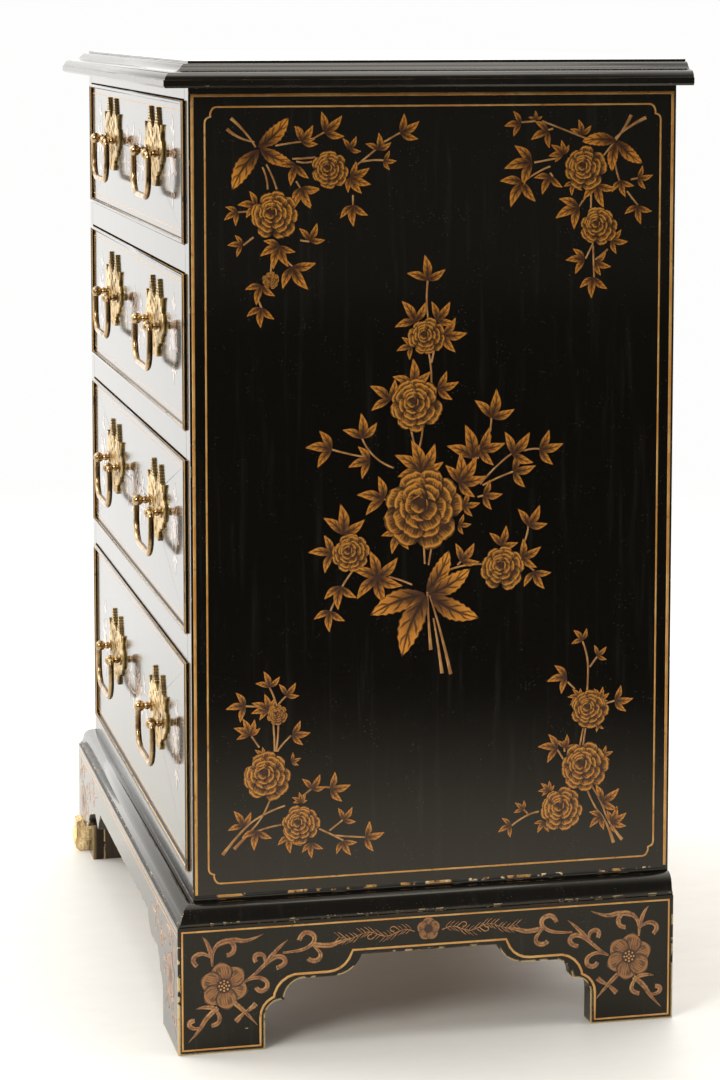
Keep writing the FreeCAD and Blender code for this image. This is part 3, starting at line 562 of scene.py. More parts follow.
def joined(name, strokes, finish):
    """Join strokes into one painted piece with a little body to the paint."""
    clear_picks()
    for stroke in strokes:
        stroke.select_set(True)
    bpy.context.view_layer.objects.active = strokes[0]
    bpy.ops.object.join()
    piece = strokes[0]
    piece.name = name
    thick = piece.modifiers.new("body", "SOLIDIFY")
    thick.thickness = PAINT_BODY
    thick.offset = -1
    bpy.ops.object.modifier_apply(modifier=thick.name)
    return finished(piece, finish)


def leaf_cluster(angle, length, chance, kind="trefoil"):
    """The lobes of one leaf: (angle, length, shape) each."""
    spread = chance.uniform(52, 68)
    if kind == "blade":
        return [(angle, length, "blade")]
    if kind == "trefoil":
        return [(angle - spread, length * 0.86, "leaf"), (angle + spread, length * 0.86, "leaf"),
                (angle, length, "leaf")]
    if kind == "fan":
        return [(angle + turn, length * share, "leaf")
                for turn, share in ((-88, 0.72), (84, 0.72), (-44, 0.92), (42, 0.95), (0, 1.0))]
    return [(angle + turn * 60 + chance.uniform(-8, 8), length * chance.uniform(0.82, 1.0), "leaf")
            for turn in range(6)]


PEONY_RINGS = ((9, 0.52, 0.50, 0.60), (8, 0.33, 0.50, 0.57), (6, 0.16, 0.46, 0.54), (5, 0.02, 0.42, 0.46),
               (3, -0.10, 0.36, 0.36))


def peony(shapes, across, up, radius, chance):
    """Rings of ruffled petals, each ring over the one outside it, about a heart set a little high."""
    petals = [stroke_at(shapes["dot"], across, up, 0, radius * 0.7, radius * 0.7, 0.135)]
    lift = 0.14
    for ring, (count, root, length, width) in enumerate(PEONY_RINGS):
        shift = radius * 0.035 * ring
        for number in range(count):
            angle = 360 / count * (number + 0.5 * (ring % 2)) + chance.uniform(-11, 11)
            way = Vector((math.cos(math.radians(angle)), math.sin(math.radians(angle))))
            start = way * radius * root * chance.uniform(0.92, 1.05)
            size = radius * chance.uniform(0.92, 1.12)
            petals.append(stroke_at(shapes["petal"], across + start.x - shift, up + start.y + shift, angle,
                                    length * size, width * size * 1.12, lift + 0.004 * (number % 3)))
        lift += 0.02
    return petals


def wild_rose(shapes, across, up, radius, petals=6, turn=30):
    """An open flower of broad petals."""
    return [stroke_at(shapes["round"], across + math.cos(math.radians(angle)) * radius * 0.16,
                      up + math.sin(math.radians(angle)) * radius * 0.16, angle, radius * 0.86,
                      radius * (6.1 / petals), 0.12 + 0.006 * number)
            for number in range(petals) for angle in [turn + 360 / petals * number]]


def brush_lines(name, lines, finish, flat=0.10, lift=0.0, closed=False, smooth=True):
    """Lines of paint: each is its points and the width at each point, as one flattened mesh."""
    curve = bpy.data.curves.new(name, "CURVE")
    curve.dimensions = "3D"
    curve.bevel_depth = 0.5
    curve.bevel_resolution = 1
    curve.resolution_u = 5
    curve.use_fill_caps = not closed
    for points, widths in lines:
        spline = curve.splines.new("NURBS" if smooth else "POLY")
        spline.points.add(len(points) - 1)
        for point, (across, up), width in zip(spline.points, points, widths):
            point.co = (across, up, 0, 1)
            point.radius = width
        spline.use_cyclic_u = closed
        if smooth:
            spline.order_u = 3
            spline.use_endpoint_u = True
    piece = bpy.data.objects.new(name, curve)
    bpy.context.scene.collection.objects.link(piece)
    clear_picks()
    piece.select_set(True)
    bpy.context.view_layer.objects.active = piece
    bpy.ops.object.convert(target="MESH")
    piece = bpy.context.object
    piece.data.transform(Matrix.Translation((0, 0, lift)) @ Matrix.Diagonal((1, 1, flat, 1)))
    return finished(piece, finish)


# ---------------------------------------------------------------- the sprays on the sides
# flowers: (across, up, radius); stems: points
# leaves: (across, up, angle, length), trefoils where no kind follows
SPRAYS = {
    "centre": (
        ((-8, 497, 20.9), (-1, 416, 31.5), (-60, 384, 15.1), (62, 367, 17.6), (0, 550, 14.5)),
        ((0, 594, 95, 19), (-9, 562, 128, 19), (8, 563, 48, 17), (13, 551, -2, 19), (-12, 543, -160, 12),
         (-11, 513, 95, 20), (-29, 502, 145, 19), (9, 510, 15, 17), (52, 486, 75, 22), (37, 455, 100, 26),
         (43, 462, 5, 20), (69, 457, 45, 21), (91, 460, 10, 19), (70, 443, 15, 18), (46, 425, 5, 15),
         (-75, 465, 175, 20), (-51, 473, 95, 19), (-45, 455, -170, 17), (-34, 425, 165, 21),
         (-4, 445, 110, 26, "fan"), (26, 436, 50, 24, "fan"), (30, 418, 10, 13), (26, 403, 0, 10),
         (-21, 398, -115, 17), (-66, 399, 90, 23), (-75, 384, -180, 18), (-39, 364, 100, 23, "star"),
         (-68, 358, -90, 18), (-76, 339, -95, 16), (60, 385, 70, 16), (77, 375, 25, 17), (82, 400, 65, 18),
         (87, 363, -60, 16), (28, 374, 55, 17), (1, 351, 65, 35, "blade"), (2, 349, 25, 37, "blade"),
         (4, 347, -25, 41, "blade"), (0, 348, -110, 49, "blade"), (-1, 349, -165, 44, "blade")),
        (((1, 595), (-1, 580), (1, 565)), ((1, 351), (2, 326), (4, 305)), ((2, 351), (12, 321), (20, 285)),
         ((6, 330), (10, 308), (13, 286)), ((-2, 391), (-1, 373)), ((6, 394), (3, 380), (2, 372)),
         ((-12, 477), (-9, 465), (-8, 460)), ((-3, 479), (-4, 468), (-7, 460)),
         ((1, 540), (4, 530), (4, 511)), ((6, 540), (4, 530)), ((-26, 449), (-44, 456), (-51, 473)),
         ((-47, 458), (-59, 460), (-75, 465)), ((43, 434), (54, 447), (68, 457)),
         ((45, 433), (57, 439), (70, 443)), ((78, 459), (85, 461), (91, 460)), ((51, 475), (52, 486)),
         ((38, 451), (37, 455)), ((41, 454), (44, 463)), ((15, 366), (28, 372), (45, 371)),
         ((25, 371), (28, 374)), ((-11, 357), (-24, 363), (-30, 364)), ((-52, 373), (-45, 368)),
         ((-59, 369), (-68, 358), (-76, 339)), ((77, 382), (82, 393), (82, 400)), ((79, 371), (87, 364)),
         ((41, 424), (46, 425)), ((-30, 424), (-34, 425)))),
    "top_near": (
        ((-119, 645, 18.6), (-76, 679, 14.6), (-122, 596, 6.6)),
        ((-131, 697, 40, 31, "blade"), (-131, 695, -120, 35, "blade"), (-130, 696, -20, 27, "blade"),
         (-97, 704, 55, 11), (-102, 683, -110, 16), (-97, 664, -60, 15), (-133, 653, 175, 14),
         (-147, 648, -150, 12), (-144, 623, -175, 11), (-92, 626, 65, 14), (-115, 622, -105, 18, "fan"),
         (-105, 606, -50, 21), (-129, 592, -100, 15), (-129, 575, -95, 15), (-80, 708, 45, 18),
         (-98, 701, 55, 15), (-61, 695, 55, 11), (-38, 694, 95, 13), (-21, 707, 30, 17), (-34, 686, 0, 10),
         (-60, 674, -15, 17, "fan"), (-58, 652, -85, 16), (-98, 666, -60, 16)),
        (((-155, 711), (-147, 703), (-134, 701)), ((-152, 719), (-141, 710), (-133, 697)),
         ((-118, 698), (-107, 700), (-97, 701)), ((-105, 688), (-95, 688), (-87, 689)),
         ((-102, 686), (-95, 684), (-88, 686)), ((-128, 682), (-124, 674), (-124, 665)),
         ((-125, 684), (-120, 675), (-117, 665)), ((-143, 623), (-135, 629)), ((-147, 648), (-133, 649)),
         ((-99, 626), (-92, 625)), ((-121, 611), (-122, 601)), ((-109, 610), (-105, 606)),
         ((-133, 585), (-129, 575)), ((-102, 671), (-99, 666)), ((-91, 702), (-80, 708)),
         ((-56, 682), (-44, 691), (-33, 701), (-21, 707)), ((-52, 685), (-42, 687), (-34, 686)),
         ((-58, 660), (-58, 652)), ((-33, 701), (-37, 694)))),
    "top_far": (
        ((126, 678, 16.8), (137, 633, 15.2)),
        ((74, 713, -175, 13), (86, 716, 95, 7), (96, 707, -150, 15), (123, 704, 100, 12),
         (151, 699, -175, 27, "blade"), (152, 699, -35, 26, "blade"), (151, 698, -95, 22, "blade"),
         (83, 683, -170, 22), (108, 689, 145, 12, "fan"), (76, 668, -120, 21), (98, 672, -110, 15),
         (117, 667, -100, 10), (136, 665, -75, 18), (121, 648, -150, 20), (155, 668, -75, 13),
         (169, 670, 5, 12), (169, 648, -85, 14), (148, 622, -10, 13), (126, 607, -175, 15),
         (135, 605, -10, 13), (134, 593, -95, 16)),
        (((163, 719), (157, 706), (140, 687)), ((175, 717), (161, 711), (150, 701)),
         ((91, 715), (107, 709), (130, 700)), ((74, 714), (86, 715)), ((96, 708), (100, 709)),
         ((85, 683), (102, 686)), ((76, 668), (87, 676), (98, 680)), ((149, 694), (150, 678), (154, 668)),
         ((163, 669), (169, 670)), ((160, 660), (169, 649)), ((131, 662), (131, 646)),
         ((130, 661), (121, 648)), ((133, 620), (127, 608)), ((133, 618), (134, 593)),
         ((98, 675), (100, 672)), ((145, 615), (135, 607)))),
    "low_near": (
        ((-126, 212, 19.2), (-100, 172, 15.5), (-118, 260, 8.2)),
        ((-124, 282, 105, 13), (-111, 275, 55, 12), (-143, 268, -170, 15), (-125, 264, 150, 14, "fan"),
         (-140, 245, 115, 14, "fan"), (-106, 244, 5, 14), (-129, 227, 135, 9, "fan"), (-107, 223, 20, 8),
         (-91, 200, 65, 13), (-76, 199, 15, 16), (-100, 190, 100, 8, "fan"), (-66, 174, 50, 12),
         (-48, 159, 10, 15), (-66, 157, -60, 13), (-145, 174, 125, 14), (-134, 169, -95, 15),
         (-108, 164, -95, 14), (-91, 157, -85, 12)),
        (((-124, 282), (-120, 274), (-118, 266)), ((-111, 274), (-116, 270), (-118, 266)),
         ((-143, 268), (-132, 267)), ((-121, 253), (-120, 242), (-120, 231)),
         ((-117, 254), (-117, 242), (-119, 231)), ((-138, 244), (-132, 235)),
         ((-107, 243), (-114, 237), (-118, 231)), ((-123, 195), (-128, 182), (-139, 169), (-152, 156)),
         ((-112, 188), (-129, 183), (-147, 170), (-161, 152)), ((-115, 173), (-125, 172), (-134, 169)),
         ((-85, 168), (-73, 162), (-65, 157)), ((-73, 162), (-60, 160), (-48, 159)),
         ((-77, 166), (-70, 171), (-66, 174)), ((-98, 195), (-91, 200)), ((-81, 201), (-75, 200)))),
    "low_far": (
        ((133, 251, 15.2), (129, 205, 19.5), (111, 172, 17.8)),
        ((127, 307, 130, 11), (139, 294, 40, 10), (114, 278, -165, 16), (154, 257, 10, 15),
         (125, 261, 175, 10, "fan"), (141, 259, 70, 10, "fan"), (141, 238, -105, 6), (107, 221, 175, 16),
         (113, 221, 80, 11), (144, 214, 20, 9), (100, 187, 135, 9, "fan"), (79, 173, 140, 9),
         (69, 161, -155, 11), (97, 162, -120, 10), (144, 176, 40, 17), (144, 164, -140, 13),
         (152, 159, 25, 14, "fan")),
        (((127, 306), (131, 296), (132, 280), (131, 264)), ((139, 293), (133, 285)),
         ((115, 274), (121, 268)), ((146, 255), (154, 257)), ((128, 236), (125, 220)),
         ((130, 236), (128, 222)), ((107, 220), (112, 212)), ((112, 227), (113, 218)),
         ((130, 191), (136, 174), (149, 159), (154, 142)), ((135, 190), (144, 176), (149, 159), (161, 144)),
         ((92, 171), (82, 170), (70, 161)), ((79, 174), (83, 170))))}

# the little sprays on the drawers, about the middle of each
DRAWER_SPRAYS = {
    "middle": (
        ((0, 0, 13),),
        ((12, 4, 20, 15), (-12, 4, 160, 15), (34, 12, 40, 14), (-34, 12, 140, 14), (45, -6, -8, 15),
         (-45, -6, -172, 15), (20, -14, -50, 12), (-20, -14, -130, 12), (1, 12, 88, 16)),
        (((8, 0), (24, 5), (34, 12)), ((-8, 0), (-24, 5), (-34, 12)), ((10, -3), (30, -9), (45, -6)),
         ((-10, -3), (-30, -9), (-45, -6)), ((7, -8), (20, -14)), ((-7, -8), (-20, -14)))),
    "end": (
        ((0, 4, 9),),
        ((5, 12, 60, 14), (-7, 10, 135, 12), (9, 0, -15, 14), (-9, -3, -160, 13), (3, 28, 85, 13),
         (2, -17, -85, 14)),
        (((0, 8), (0, 18), (3, 28)), ((0, 0), (3, -10), (2, -17))))}

# where the branches are cut, they are thick
CUT_ENDS = {(4, 305), (20, 285), (13, 286), (-155, 711), (-152, 719), (163, 719), (175, 717), (-152, 156),
            (-161, 152), (154, 142), (161, 144)}


def moved(drawing, across, up):
    """A drawing shifted over its face."""
    def shifted(places):
        return tuple((x + across, y + up, *rest) for x, y, *rest in places)
    flowers, leaves, stems = drawing
    return shifted(flowers), shifted(leaves), tuple(shifted(points) for points in stems)


LEAF_LIFT = 0.08
STEM_WIDTH = 1.45
CUT_WIDTH = 2.9


def spray(name, drawing, shapes, face, chance, wear):
    """One painted spray: leaves and stems, with the flowers over them."""
    flowers, leaves, stems = drawing
    strokes = []
    for across, up, angle, length, *kind in leaves:
        for lobe_angle, lobe_length, shape in leaf_cluster(angle, length, chance, *kind):
            width = lobe_length * (1.0 if shape == "blade" else 0.98)
            strokes.append(stroke_at(shapes[shape], across, up, lobe_angle + chance.uniform(-6, 6),
                                     lobe_length * 1.04, width, LEAF_LIFT + 0.003 * (len(strokes) % 9)))
    pieces = [joined("leaves_" + name, strokes, wear + "_leaf")]
    petals = [petal for flower in flowers for petal in peony(shapes, *flower, chance)]
    pieces.append(joined("flowers_" + name, petals, wear + "_petal"))
    lines = [(points, [CUT_WIDTH if point in CUT_ENDS else STEM_WIDTH for point in points])
             for points in stems]
    pieces.append(brush_lines("stems_" + name, lines, wear + "_stem"))
    face.lay(pieces)


# ---------------------------------------------------------------- lines
NOTCH = ((0.0, 1.0), (0.03, 0.86), (0.12, 0.74), (0.27, 0.66), (0.44, 0.62), (0.50, 0.60), (0.46, 0.50),
         (0.52, 0.30), (0.66, 0.12), (0.82, 0.03), (1.0, 0.0))
NOTCH_RUN = 9.0
NOTCH_RISE = 12.0


def notched_frame(low, high):
    """A rectangle whose corners are cut by two small arcs that meet in an inward cusp."""
    corners = (((low[0], low[1]), 1, 1), ((high[0], low[1]), -1, 1), ((high[0], high[1]), -1, -1),
               ((low[0], high[1]), 1, -1))
    outline = []
    for (x, y), right, up in corners:
        bend = [(x + right * across * NOTCH_RUN, y + up * along * NOTCH_RISE) for across, along in NOTCH]
        outline += bend if right * up > 0 else bend[::-1]
    return outline


SHARPEST_TURN = 0.35


def inset(outline, distance):
    """An outline moved inwards, for one that runs anticlockwise."""
    inner = []
    count = len(outline)
    for number in range(count):
        here = Vector(outline[number])
        before = (here - Vector(outline[number - 1])).normalized()
        after = (Vector(outline[(number + 1) % count]) - here).normalized()
        normal = Vector((-before.y, before.x)) + Vector((-after.y, after.x))
        normal = normal / max(normal.length_squared / 2, SHARPEST_TURN)
        inner.append(tuple(here + normal * distance))
    return inner


ARC_STEPS = 5


def upright_arc(start, run, rise):
    """From a start, an arc that sets off upright and ends a run and a rise away."""
    radius = (run * run + rise * rise) / (2 * abs(run))
    sweep = math.asin(min(1.0, rise / radius))
    way = 1 if run > 0 else -1
    return [(start[0] + way * radius * (1 - math.cos(sweep * step / ARC_STEPS)),
             start[1] + radius * math.sin(sweep * step / ARC_STEPS)) for step in range(1, ARC_STEPS + 1)]


def level_arc(start, run, rise):
    """From a start, an arc that sets off level and ends a run and a rise away."""
    radius = (run * run + rise * rise) / (2 * rise)
    sweep = math.asin(min(1.0, abs(run) / radius))
    way = 1 if run > 0 else -1
    return [(start[0] + way * radius * math.sin(sweep * step / ARC_STEPS),
             start[1] + radius * (1 - math.cos(sweep * step / ARC_STEPS)))
             for step in range(1, ARC_STEPS + 1)]


FOOT_UPRIGHT = 26.0
FIRST_HOLLOW = (15.0, 12.5)
SECOND_HOLLOW = (13.8, 16.1)
FOOT_LEVEL = 25.9
ARCH_SPRING = (21.8, 15.9)


def bracket(inner, way):
    """The bracket foot's inner edge from the floor to the arch."""
    edge = [(inner, 0.0), (inner, FOOT_UPRIGHT)]
    for run, rise in (FIRST_HOLLOW, SECOND_HOLLOW):
        edge += upright_arc(edge[-1], way * run, rise)
    edge.append((edge[-1][0] + way * FOOT_LEVEL, edge[-1][1]))
    run, rise = ARCH_SPRING
    return edge + level_arc(edge[-1], way * run, rise)


# ---------------------------------------------------------------- scrolls on the plinth
SCROLLS = {
    "curl": [[(-172, 69), (-173, 77), (-169, 86), (-159, 90), (-154, 83), (-157, 77), (-161, 77)],
             [(-173, 76), (-178, 80), (-185, 79), (-188, 74), (-184, 70)],
             [(-147, 55), (-139, 60), (-131, 68), (-122, 74), (-115, 72), (-115, 66), (-122, 64)],
             [(-131, 68), (-130, 74), (-136, 77), (-140, 74), (-138, 70)],
             [(-147, 55), (-139, 59), (-129, 55), (-129, 48), (-136, 46), (-138, 50)],
             [(-117, 76), (-103, 76), (-93, 81), (-91, 87), (-96, 91), (-102, 90), (-104, 85)],
             [(-93, 80), (-87, 75), (-87, 69), (-94, 67), (-97, 70)],
             [(-181, 21), (-187, 20), (-191, 24), (-189, 27), (-186, 27)],
             [(-171, 36), (-166, 30), (-167, 23), (-173, 22)]],
    "flame": [[(-168, 86), (-157, 90), (-145, 86), (-132, 92)], [(-173, 78), (-175, 88), (-180, 93)],
              [(-129, 70), (-122, 79), (-113, 86)], [(-93, 81), (-81, 78), (-71, 82), (-62, 83)],
              [(-168, 36), (-177, 29), (-182, 19), (-191, 10)], [(-171, 36), (-178, 38), (-185, 36)],
              [(-155, 39), (-147, 32), (-137, 20)]],
    "bud": [[(-147, 31), (-142, 33), (-138, 37)], [(-147, 31), (-150, 28), (-154, 24)]]}
SCROLL_WIDTHS = {"curl": (1.6, 3.6), "flame": (3.8, 0.3), "bud": (1.2, 4.4)}


def thinned(lines, share):
    """The same lines drawn with a finer brush."""
    return [(points, [width * share for width in widths]) for points, widths in lines]


def scroll_lines(hand, shift):
    lines = []
    for kind, strokes in SCROLLS.items():
        first, last = SCROLL_WIDTHS[kind]
        for points in strokes:
            count = len(points) - 1
            swell = 2.0 if kind == "flame" else 1.3
            widths = [first + (last - first) * number / count + swell * math.sin(math.pi * number / count)
                      for number in range(count + 1)]
            lines.append(([(hand * x + shift, y) for x, y in points], widths))
    return lines


SPRIG_UP = 85.5
SPRIG_STEPS = 11


def garland_lines(middle, way):
    """A light wavy sprig: a thin stem, two curls, and short strokes like fern."""
    stem = [(middle + way * (11 + 6 * step), SPRIG_UP + 2.6 * math.sin(step * 1.25))
            for step in range(SPRIG_STEPS)]
    lines = [(stem, [0.9 - 0.06 * step for step in range(SPRIG_STEPS)])]
    for step, up in ((2, 1), (5, -1)):
        x, y = stem[step]
        curl = [(x, y), (x + way * 4, y + up * 4), (x + way * 8, y + up * 3), (x + way * 7, y - up * 0.5),
                (x + way * 4.5, y)]
        lines.append((curl, [0.6, 0.8, 0.8, 0.8, 0.9]))
    for x, y in stem[1:]:
        for side in (1, -1):
            for start in (x, x - way * 3):
                frond = [(start, y), (start + way * 2.0, y + side * 2.4), (start + way * 4.6, y + side * 4.0)]
                lines.append((frond, [0.35, 0.75, 0.25]))
    return lines


# ---------------------------------------------------------------- dressing the chest
FINISH = {}
LACQUERS = {
    "black_lacquer_case": {},
    "black_lacquer_plinth": {"chips": 0.535, "wear_radius": 3.2 * MM, "torn": True},
    "black_lacquer_top": {"chips": 0.69, "wear_radius": 1.2 * MM, "dull_front": 0.12},
    "black_lacquer_moulding": {"chips": 0.585, "wear_radius": 1.2 * MM},
    "gilt_edged_bead": {"chips": 0.66, "wear_radius": 1.0 * MM, "gilt_edges": True}}
# veins to a leaf, width of the rim, light and deep gold, where the dusk at the root starts and ends, varnish
PAINTS = {
    "painted_leaf": (4.0, 0.13, (0.86, 0.355, 0.045), (0.62, 0.215, 0.024), (0.68, 1.40)),
    "painted_petal": (0, 0.26, (0.86, 0.38, 0.060), (0.64, 0.245, 0.034), (0.24, 0.72)),
    "painted_rose": (0, 0.22, (0.46, 0.20, 0.052), (0.36, 0.14, 0.032), (0.62, 1.40)),
    "rubbed_leaf": (4.0, 0.13, (0.58, 0.245, 0.036), (0.38, 0.135, 0.018), (0.60, 1.35), 1.0),
    "rubbed_petal": (0, 0.26, (0.58, 0.25, 0.042), (0.40, 0.15, 0.022), (0.24, 0.76), 1.0)}
LINING = ((0.52, 0.35, 0.19), (0.33, 0.19, 0.085))
# light and dark wood, the way of the grain, roughness
BOARDS = {
    "drawer_lining_wood": (*LINING, "x", 0.5),
    "drawer_side_wood": (*LINING, "y", 0.5),
    "carcass_wood": ((0.40, 0.27, 0.15), (0.22, 0.125, 0.06), "z", 0.65),
    # wood painted near black as the shade inside the plinth, for the corner blocks
    "shade_dark_wood": ((0.060, 0.038, 0.022), (0.022, 0.014, 0.009), "z", 0.7)}


def make_finishes():
    for name, how in LACQUERS.items():
        FINISH[name] = black_lacquer(name, **how)
    for name, mixture in PAINTS.items():
        FINISH[name] = painted(name, *mixture)
    for name, board in BOARDS.items():
        FINISH[name] = board_wood(name, *board)
    for drawer in DRAWERS:
        name = "aged_brass_" + drawer
        FINISH[name] = aged_brass(name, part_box(drawer + "_backplates")[1].z)
    FINISH["painted_stem"] = stem_paint("painted_stem")
    FINISH["rubbed_stem"] = stem_paint("rubbed_stem", varnish=1.0)
    for name, make in (("gilt_line", gilt_line), ("painted_scroll", scroll_paint),
                       ("painted_heart", dark_paint), ("rubbed_brass", rubbed_brass),
                       ("broken_wood", broken_wood), ("pale_floor", pale_floor)):
        FINISH[name] = make(name)


def finish_of(node):
    """The finish of a carried-over piece, by the piece's name."""
    if node.endswith("cockbead"):
        return "gilt_edged_bead"
    if node.endswith("backplates"):
        return "aged_brass_" + node[:len(DRAWERS[0])]
    if node.endswith(("posts", "bail_left", "bail_right")):
        return "rubbed_brass"
    if node.startswith("drawer_") and node.endswith(("side_left", "side_right")):
        return "drawer_side_wood"
    if node.startswith("drawer_") and node.endswith(("_back", "_floor")):
        return "drawer_lining_wood"
    # the corner blocks take painted shade: near black wood, as the shade under the chest
    if node == "corner_blocks":
        return "shade_dark_wood"
    if node in ("case_floor", "back_panel", "drawer_runners", "top_kickers", "plinth_back"):
        return "carcass_wood"
    if node.startswith("plinth"):
        return "black_lacquer_plinth"
    if node == "top_slab":
        return "black_lacquer_top"
    if node.startswith("base_moulding"):
        return "black_lacquer_moulding"
    return "black_lacquer_case"


# how far the arrises of a finish are rounded, in millimetres
EDGE_ROUND = {"gilt_edged_bead": 0.5, "aged_brass": 0.35, "rubbed_brass": 0.3, "black_lacquer_case": 0.5,
              "black_lacquer_plinth": 0.7, "black_lacquer_moulding": 0.45, "black_lacquer_top": 0.45}
WOOD_ROUND = 0.6
SHARP_EDGE = 38


def dress_nodes():
    """Give each carried-over piece its finish, and take the keenness off its arrises."""
    for name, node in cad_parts.items():
        finish = finish_of(name)
        node.data.materials.clear()
        node.data.materials.append(FINISH[finish])
        weld = node.modifiers.new("weld", "WELD")
        weld.merge_threshold = 0.002 * MM
        ease = node.modifiers.new("eased_arris", "BEVEL")
        ease.width = EDGE_ROUND.get(finish.split("_drawer")[0], WOOD_ROUND) * MM
        ease.segments = 2
        ease.limit_method = "ANGLE"
        ease.angle_limit = math.radians(SHARP_EDGE)
        ease.harden_normals = True


def ruled(name, lines, closed=True):
    """Gilt lines with plain corners: the points and one width of each."""
    widths = [(points, [width] * len(points)) for points, width in lines]
    return brush_lines(name, widths, "gilt_line", closed=closed, smooth=False)


OUTER_MARGIN = 2.9
INNER_MARGIN = 12.5
OUTER_RISE = (119.6, 736.2)
INNER_RISE = (129.5, 727.5)


def paint_sides(shapes):
    y_low, y_high = side_low.y / MM, side_high.y / MM
    near, far = y_low + OUTER_MARGIN, y_high - OUTER_MARGIN
    foot, head = OUTER_RISE
    border = [(near, foot), (far, foot), (far, head), (near, head)]
    inner = notched_frame((y_low + INNER_MARGIN, INNER_RISE[0]), (y_high - INNER_MARGIN, INNER_RISE[1]))
    for hand, out in (("right", 1), ("left", -1)):
        face = Face((0, 1, 0), (0, 0, 1), (out, 0, 0), (out * side_high.x, 0, 0), "case")
        for name, drawing in SPRAYS.items():
            spray("%s_%s" % (name, hand), drawing, shapes, face, random.Random(name), "painted")
        face.lay([ruled("outer_border_" + hand, [(border, 3.3)]),
                  ruled("inner_border_" + hand, [(inner, 1.45)])])


FLOWER_UP = 53
FLOWER_RADIUS = 19
FLOWER_TURN = 20
SIDE_FLOWER = 163
FRONT_FLOWER = 261
HEART = 6.2
HEART_LIFT = 0.16
SEED = 0.75
SEED_LIFT = 0.19
SEED_RINGS = ((1.6, 4), (3.9, 8))
MIDDLE_ACROSS = -1
MIDDLE_UP = 87


def foot_flowers(shapes, across):
    return [petal for way in (-1, 1)
            for petal in wild_rose(shapes, way * across, FLOWER_UP, FLOWER_RADIUS, turn=FLOWER_TURN * way)]


def dot(shapes, across, up, size, lift):
    return stroke_at(shapes["dot"], across, up, 0, size, size, lift)


def foot_hearts(shapes, across):
    return [dot(shapes, way * across, FLOWER_UP, HEART, HEART_LIFT) for way in (-1, 1)]


def scroll_veins(name, scrolls):
    """Fine dark strokes along the middle of the scrolls."""
    return brush_lines(name, thinned(scrolls, 0.15), "painted_heart", flat=0.3, lift=0.12)


def paint_plinth_sides(shapes):
    near, far = plinth_low.y / MM, plinth_high.y / MM
    outline = [(near, 0.0)] + bracket(near + 68.0, 1) + bracket(far - 68.0, -1)[::-1]
    outline += [(far, 0.0), (far, 100.5), (near, 100.5)]
    for hand, out in (("right", 1), ("left", -1)):
        face = Face((0, 1, 0), (0, 0, 1), (out, 0, 0), (out * plinth_high.x, 0, 0), "case")
        pieces = [ruled("plinth_border_" + hand, [(inset(outline, 3.6), 2.0)])]
        flowers = foot_flowers(shapes, SIDE_FLOWER)
        flowers += wild_rose(shapes, MIDDLE_ACROSS, MIDDLE_UP, 9.4, petals=5, turn=90)
        pieces.append(joined("plinth_flowers_" + hand, flowers, "painted_rose"))
        seeds = [dot(shapes, way * SIDE_FLOWER + math.cos(angle) * reach, FLOWER_UP + math.sin(angle) * reach,
                     SEED, SEED_LIFT)
                 for way in (-1, 1) for reach, count in SEED_RINGS
                 for angle in [2 * math.pi * number / count for number in range(count)]]
        pieces.append(joined("plinth_seeds_" + hand, seeds, "gilt_line"))
        hearts = foot_hearts(shapes, SIDE_FLOWER) + [dot(shapes, MIDDLE_ACROSS, MIDDLE_UP, 3.6, HEART_LIFT)]
        pieces.append(joined("plinth_hearts_" + hand, hearts, "painted_heart"))
        scrolls = scroll_lines(1, 0) + scroll_lines(-1, -1)
        sprigs = garland_lines(MIDDLE_ACROSS, -1) + garland_lines(MIDDLE_ACROSS, 1)
        pieces += [brush_lines("plinth_scrolls_" + hand, scrolls, "painted_scroll"),
                   brush_lines("plinth_sprigs_" + hand, sprigs, "painted_scroll"),
                   scroll_veins("plinth_scroll_veins_" + hand, scrolls)]
        face.lay(pieces)


DRAWER_MARGIN = 8.4
END_SPRAY = 205


def paint_drawers(shapes):
    for name in DRAWERS:
        low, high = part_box(name + "_front")
        face = Face((1, 0, 0), (0, 0, 1), (0, -1, 0), (0, low.y, 0), name)
        left, right = low.x / MM + DRAWER_MARGIN, high.x / MM - DRAWER_MARGIN
        bottom, top = low.z / MM + DRAWER_MARGIN, high.z / MM - DRAWER_MARGIN
        frame_line = [(left, bottom), (right, bottom), (right, top), (left, top)]
        face.lay([ruled(name + "_line", [(frame_line, 0.9)])])
        for place, kind, across in (("left", "end", -END_SPRAY), ("middle", "middle", 0),
                                    ("right", "end", END_SPRAY)):
            drawing = moved(DRAWER_SPRAYS[kind], across, (bottom + top) / 2)
            spray("%s_%s" % (name, place), drawing, shapes, face, random.Random(name + place), "rubbed")


LINE_REACH = 294.5
LINE_HEIGHTS = (97.2, 92.8)
SCROLL_SHIFT = 98
SCROLL_FLOOR = 44


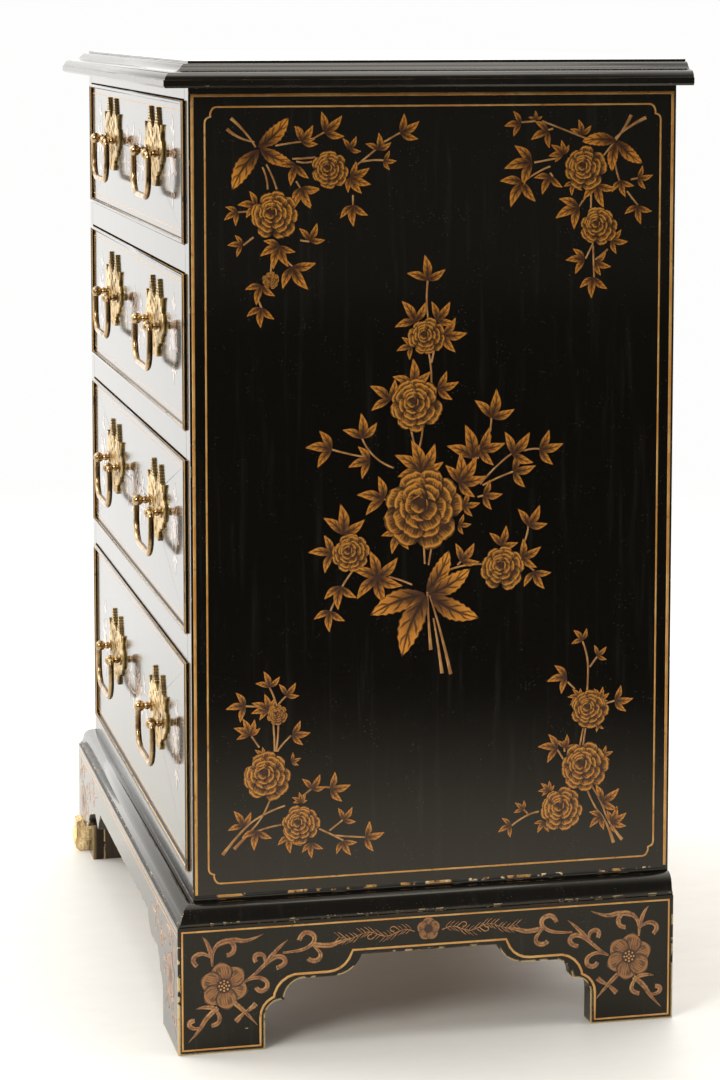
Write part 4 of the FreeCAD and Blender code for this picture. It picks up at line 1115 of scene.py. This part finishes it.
def paint_plinth_front(shapes):
    """Two fine lines under the moulding, and a flower with its scrolls on each foot."""
    face = Face((1, 0, 0), (0, 0, 1), (0, -1, 0), (0, PLINTH_FRONT, 0), "case")
    lines = [([(-LINE_REACH, up), (LINE_REACH, up)], 0.9) for up in LINE_HEIGHTS]
    scrolls = [line for line in scroll_lines(1, -SCROLL_SHIFT)
               if min(up for across, up in line[0]) > SCROLL_FLOOR]
    scrolls += scroll_lines(-1, SCROLL_SHIFT)
    face.lay([ruled("plinth_front_lines", lines, closed=False),
              brush_lines("plinth_front_scrolls", scrolls, "painted_scroll"),
              scroll_veins("plinth_front_scroll_veins", scrolls),
              joined("plinth_front_flowers", foot_flowers(shapes, FRONT_FLOWER), "painted_rose"),
              joined("plinth_front_hearts", foot_hearts(shapes, FRONT_FLOWER), "painted_heart")])


SPLINTER_MIDDLE = (-0.2885, -0.1935, 0.0185)
SPLINTER_SIZE = (0.0235, 0.0215, 0.033)
SPLINTER_TIP = (-0.2885, -0.1860, 0.035)
SPLINTER_LIMITS = (-0.3032, -0.2062, 0.0004)


def broken_foot():
    """Splintered wood standing out round the front end of the left foot: a block, broken up and roughened."""
    clear_picks()
    bpy.ops.mesh.primitive_cube_add(size=1, location=SPLINTER_MIDDLE)
    splinter = bpy.context.object
    splinter.name = "splintered_foot"
    bpy.ops.object.mode_set(mode="EDIT")
    bpy.ops.mesh.select_all(action="SELECT")
    bpy.ops.transform.resize(value=SPLINTER_SIZE)
    bpy.ops.mesh.subdivide(number_cuts=9)
    pick_points(splinter, lambda point: point.co.z > 0.013)
    bpy.ops.transform.resize(value=(0.80, 0.45, 1.0), center_override=SPLINTER_TIP)
    bpy.ops.object.mode_set(mode="OBJECT")
    bpy.ops.object.transform_apply(location=True, rotation=True, scale=True)
    torn = bpy.data.textures.new("torn", "CLOUDS")
    torn.noise_scale = 0.009
    torn.noise_depth = 3
    rough = splinter.modifiers.new("torn", "DISPLACE")
    rough.texture = torn
    rough.strength = 0.009
    rough.mid_level = 0.56
    bpy.ops.object.modifier_apply(modifier=rough.name)
    for point in splinter.data.vertices:
        point.co = [max(along, limit) for along, limit in zip(point.co, SPLINTER_LIMITS)]
    finished(splinter, "broken_wood")
    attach(splinter, "case")


def stage():
    clear_picks()
    bpy.ops.mesh.primitive_plane_add(size=12)
    floor = bpy.context.object
    floor.name = "floor"
    floor.data.materials.append(FINISH["pale_floor"])


def clear_strokes(shapes):
    for shape in shapes.values():
        bpy.data.objects.remove(shape, do_unlink=True)


view_camera()
studio()
make_finishes()
dress_nodes()
strokes = make_strokes()
paint_sides(strokes)
paint_plinth_sides(strokes)
paint_plinth_front(strokes)
paint_drawers(strokes)
broken_foot()
clear_strokes(strokes)
stage()
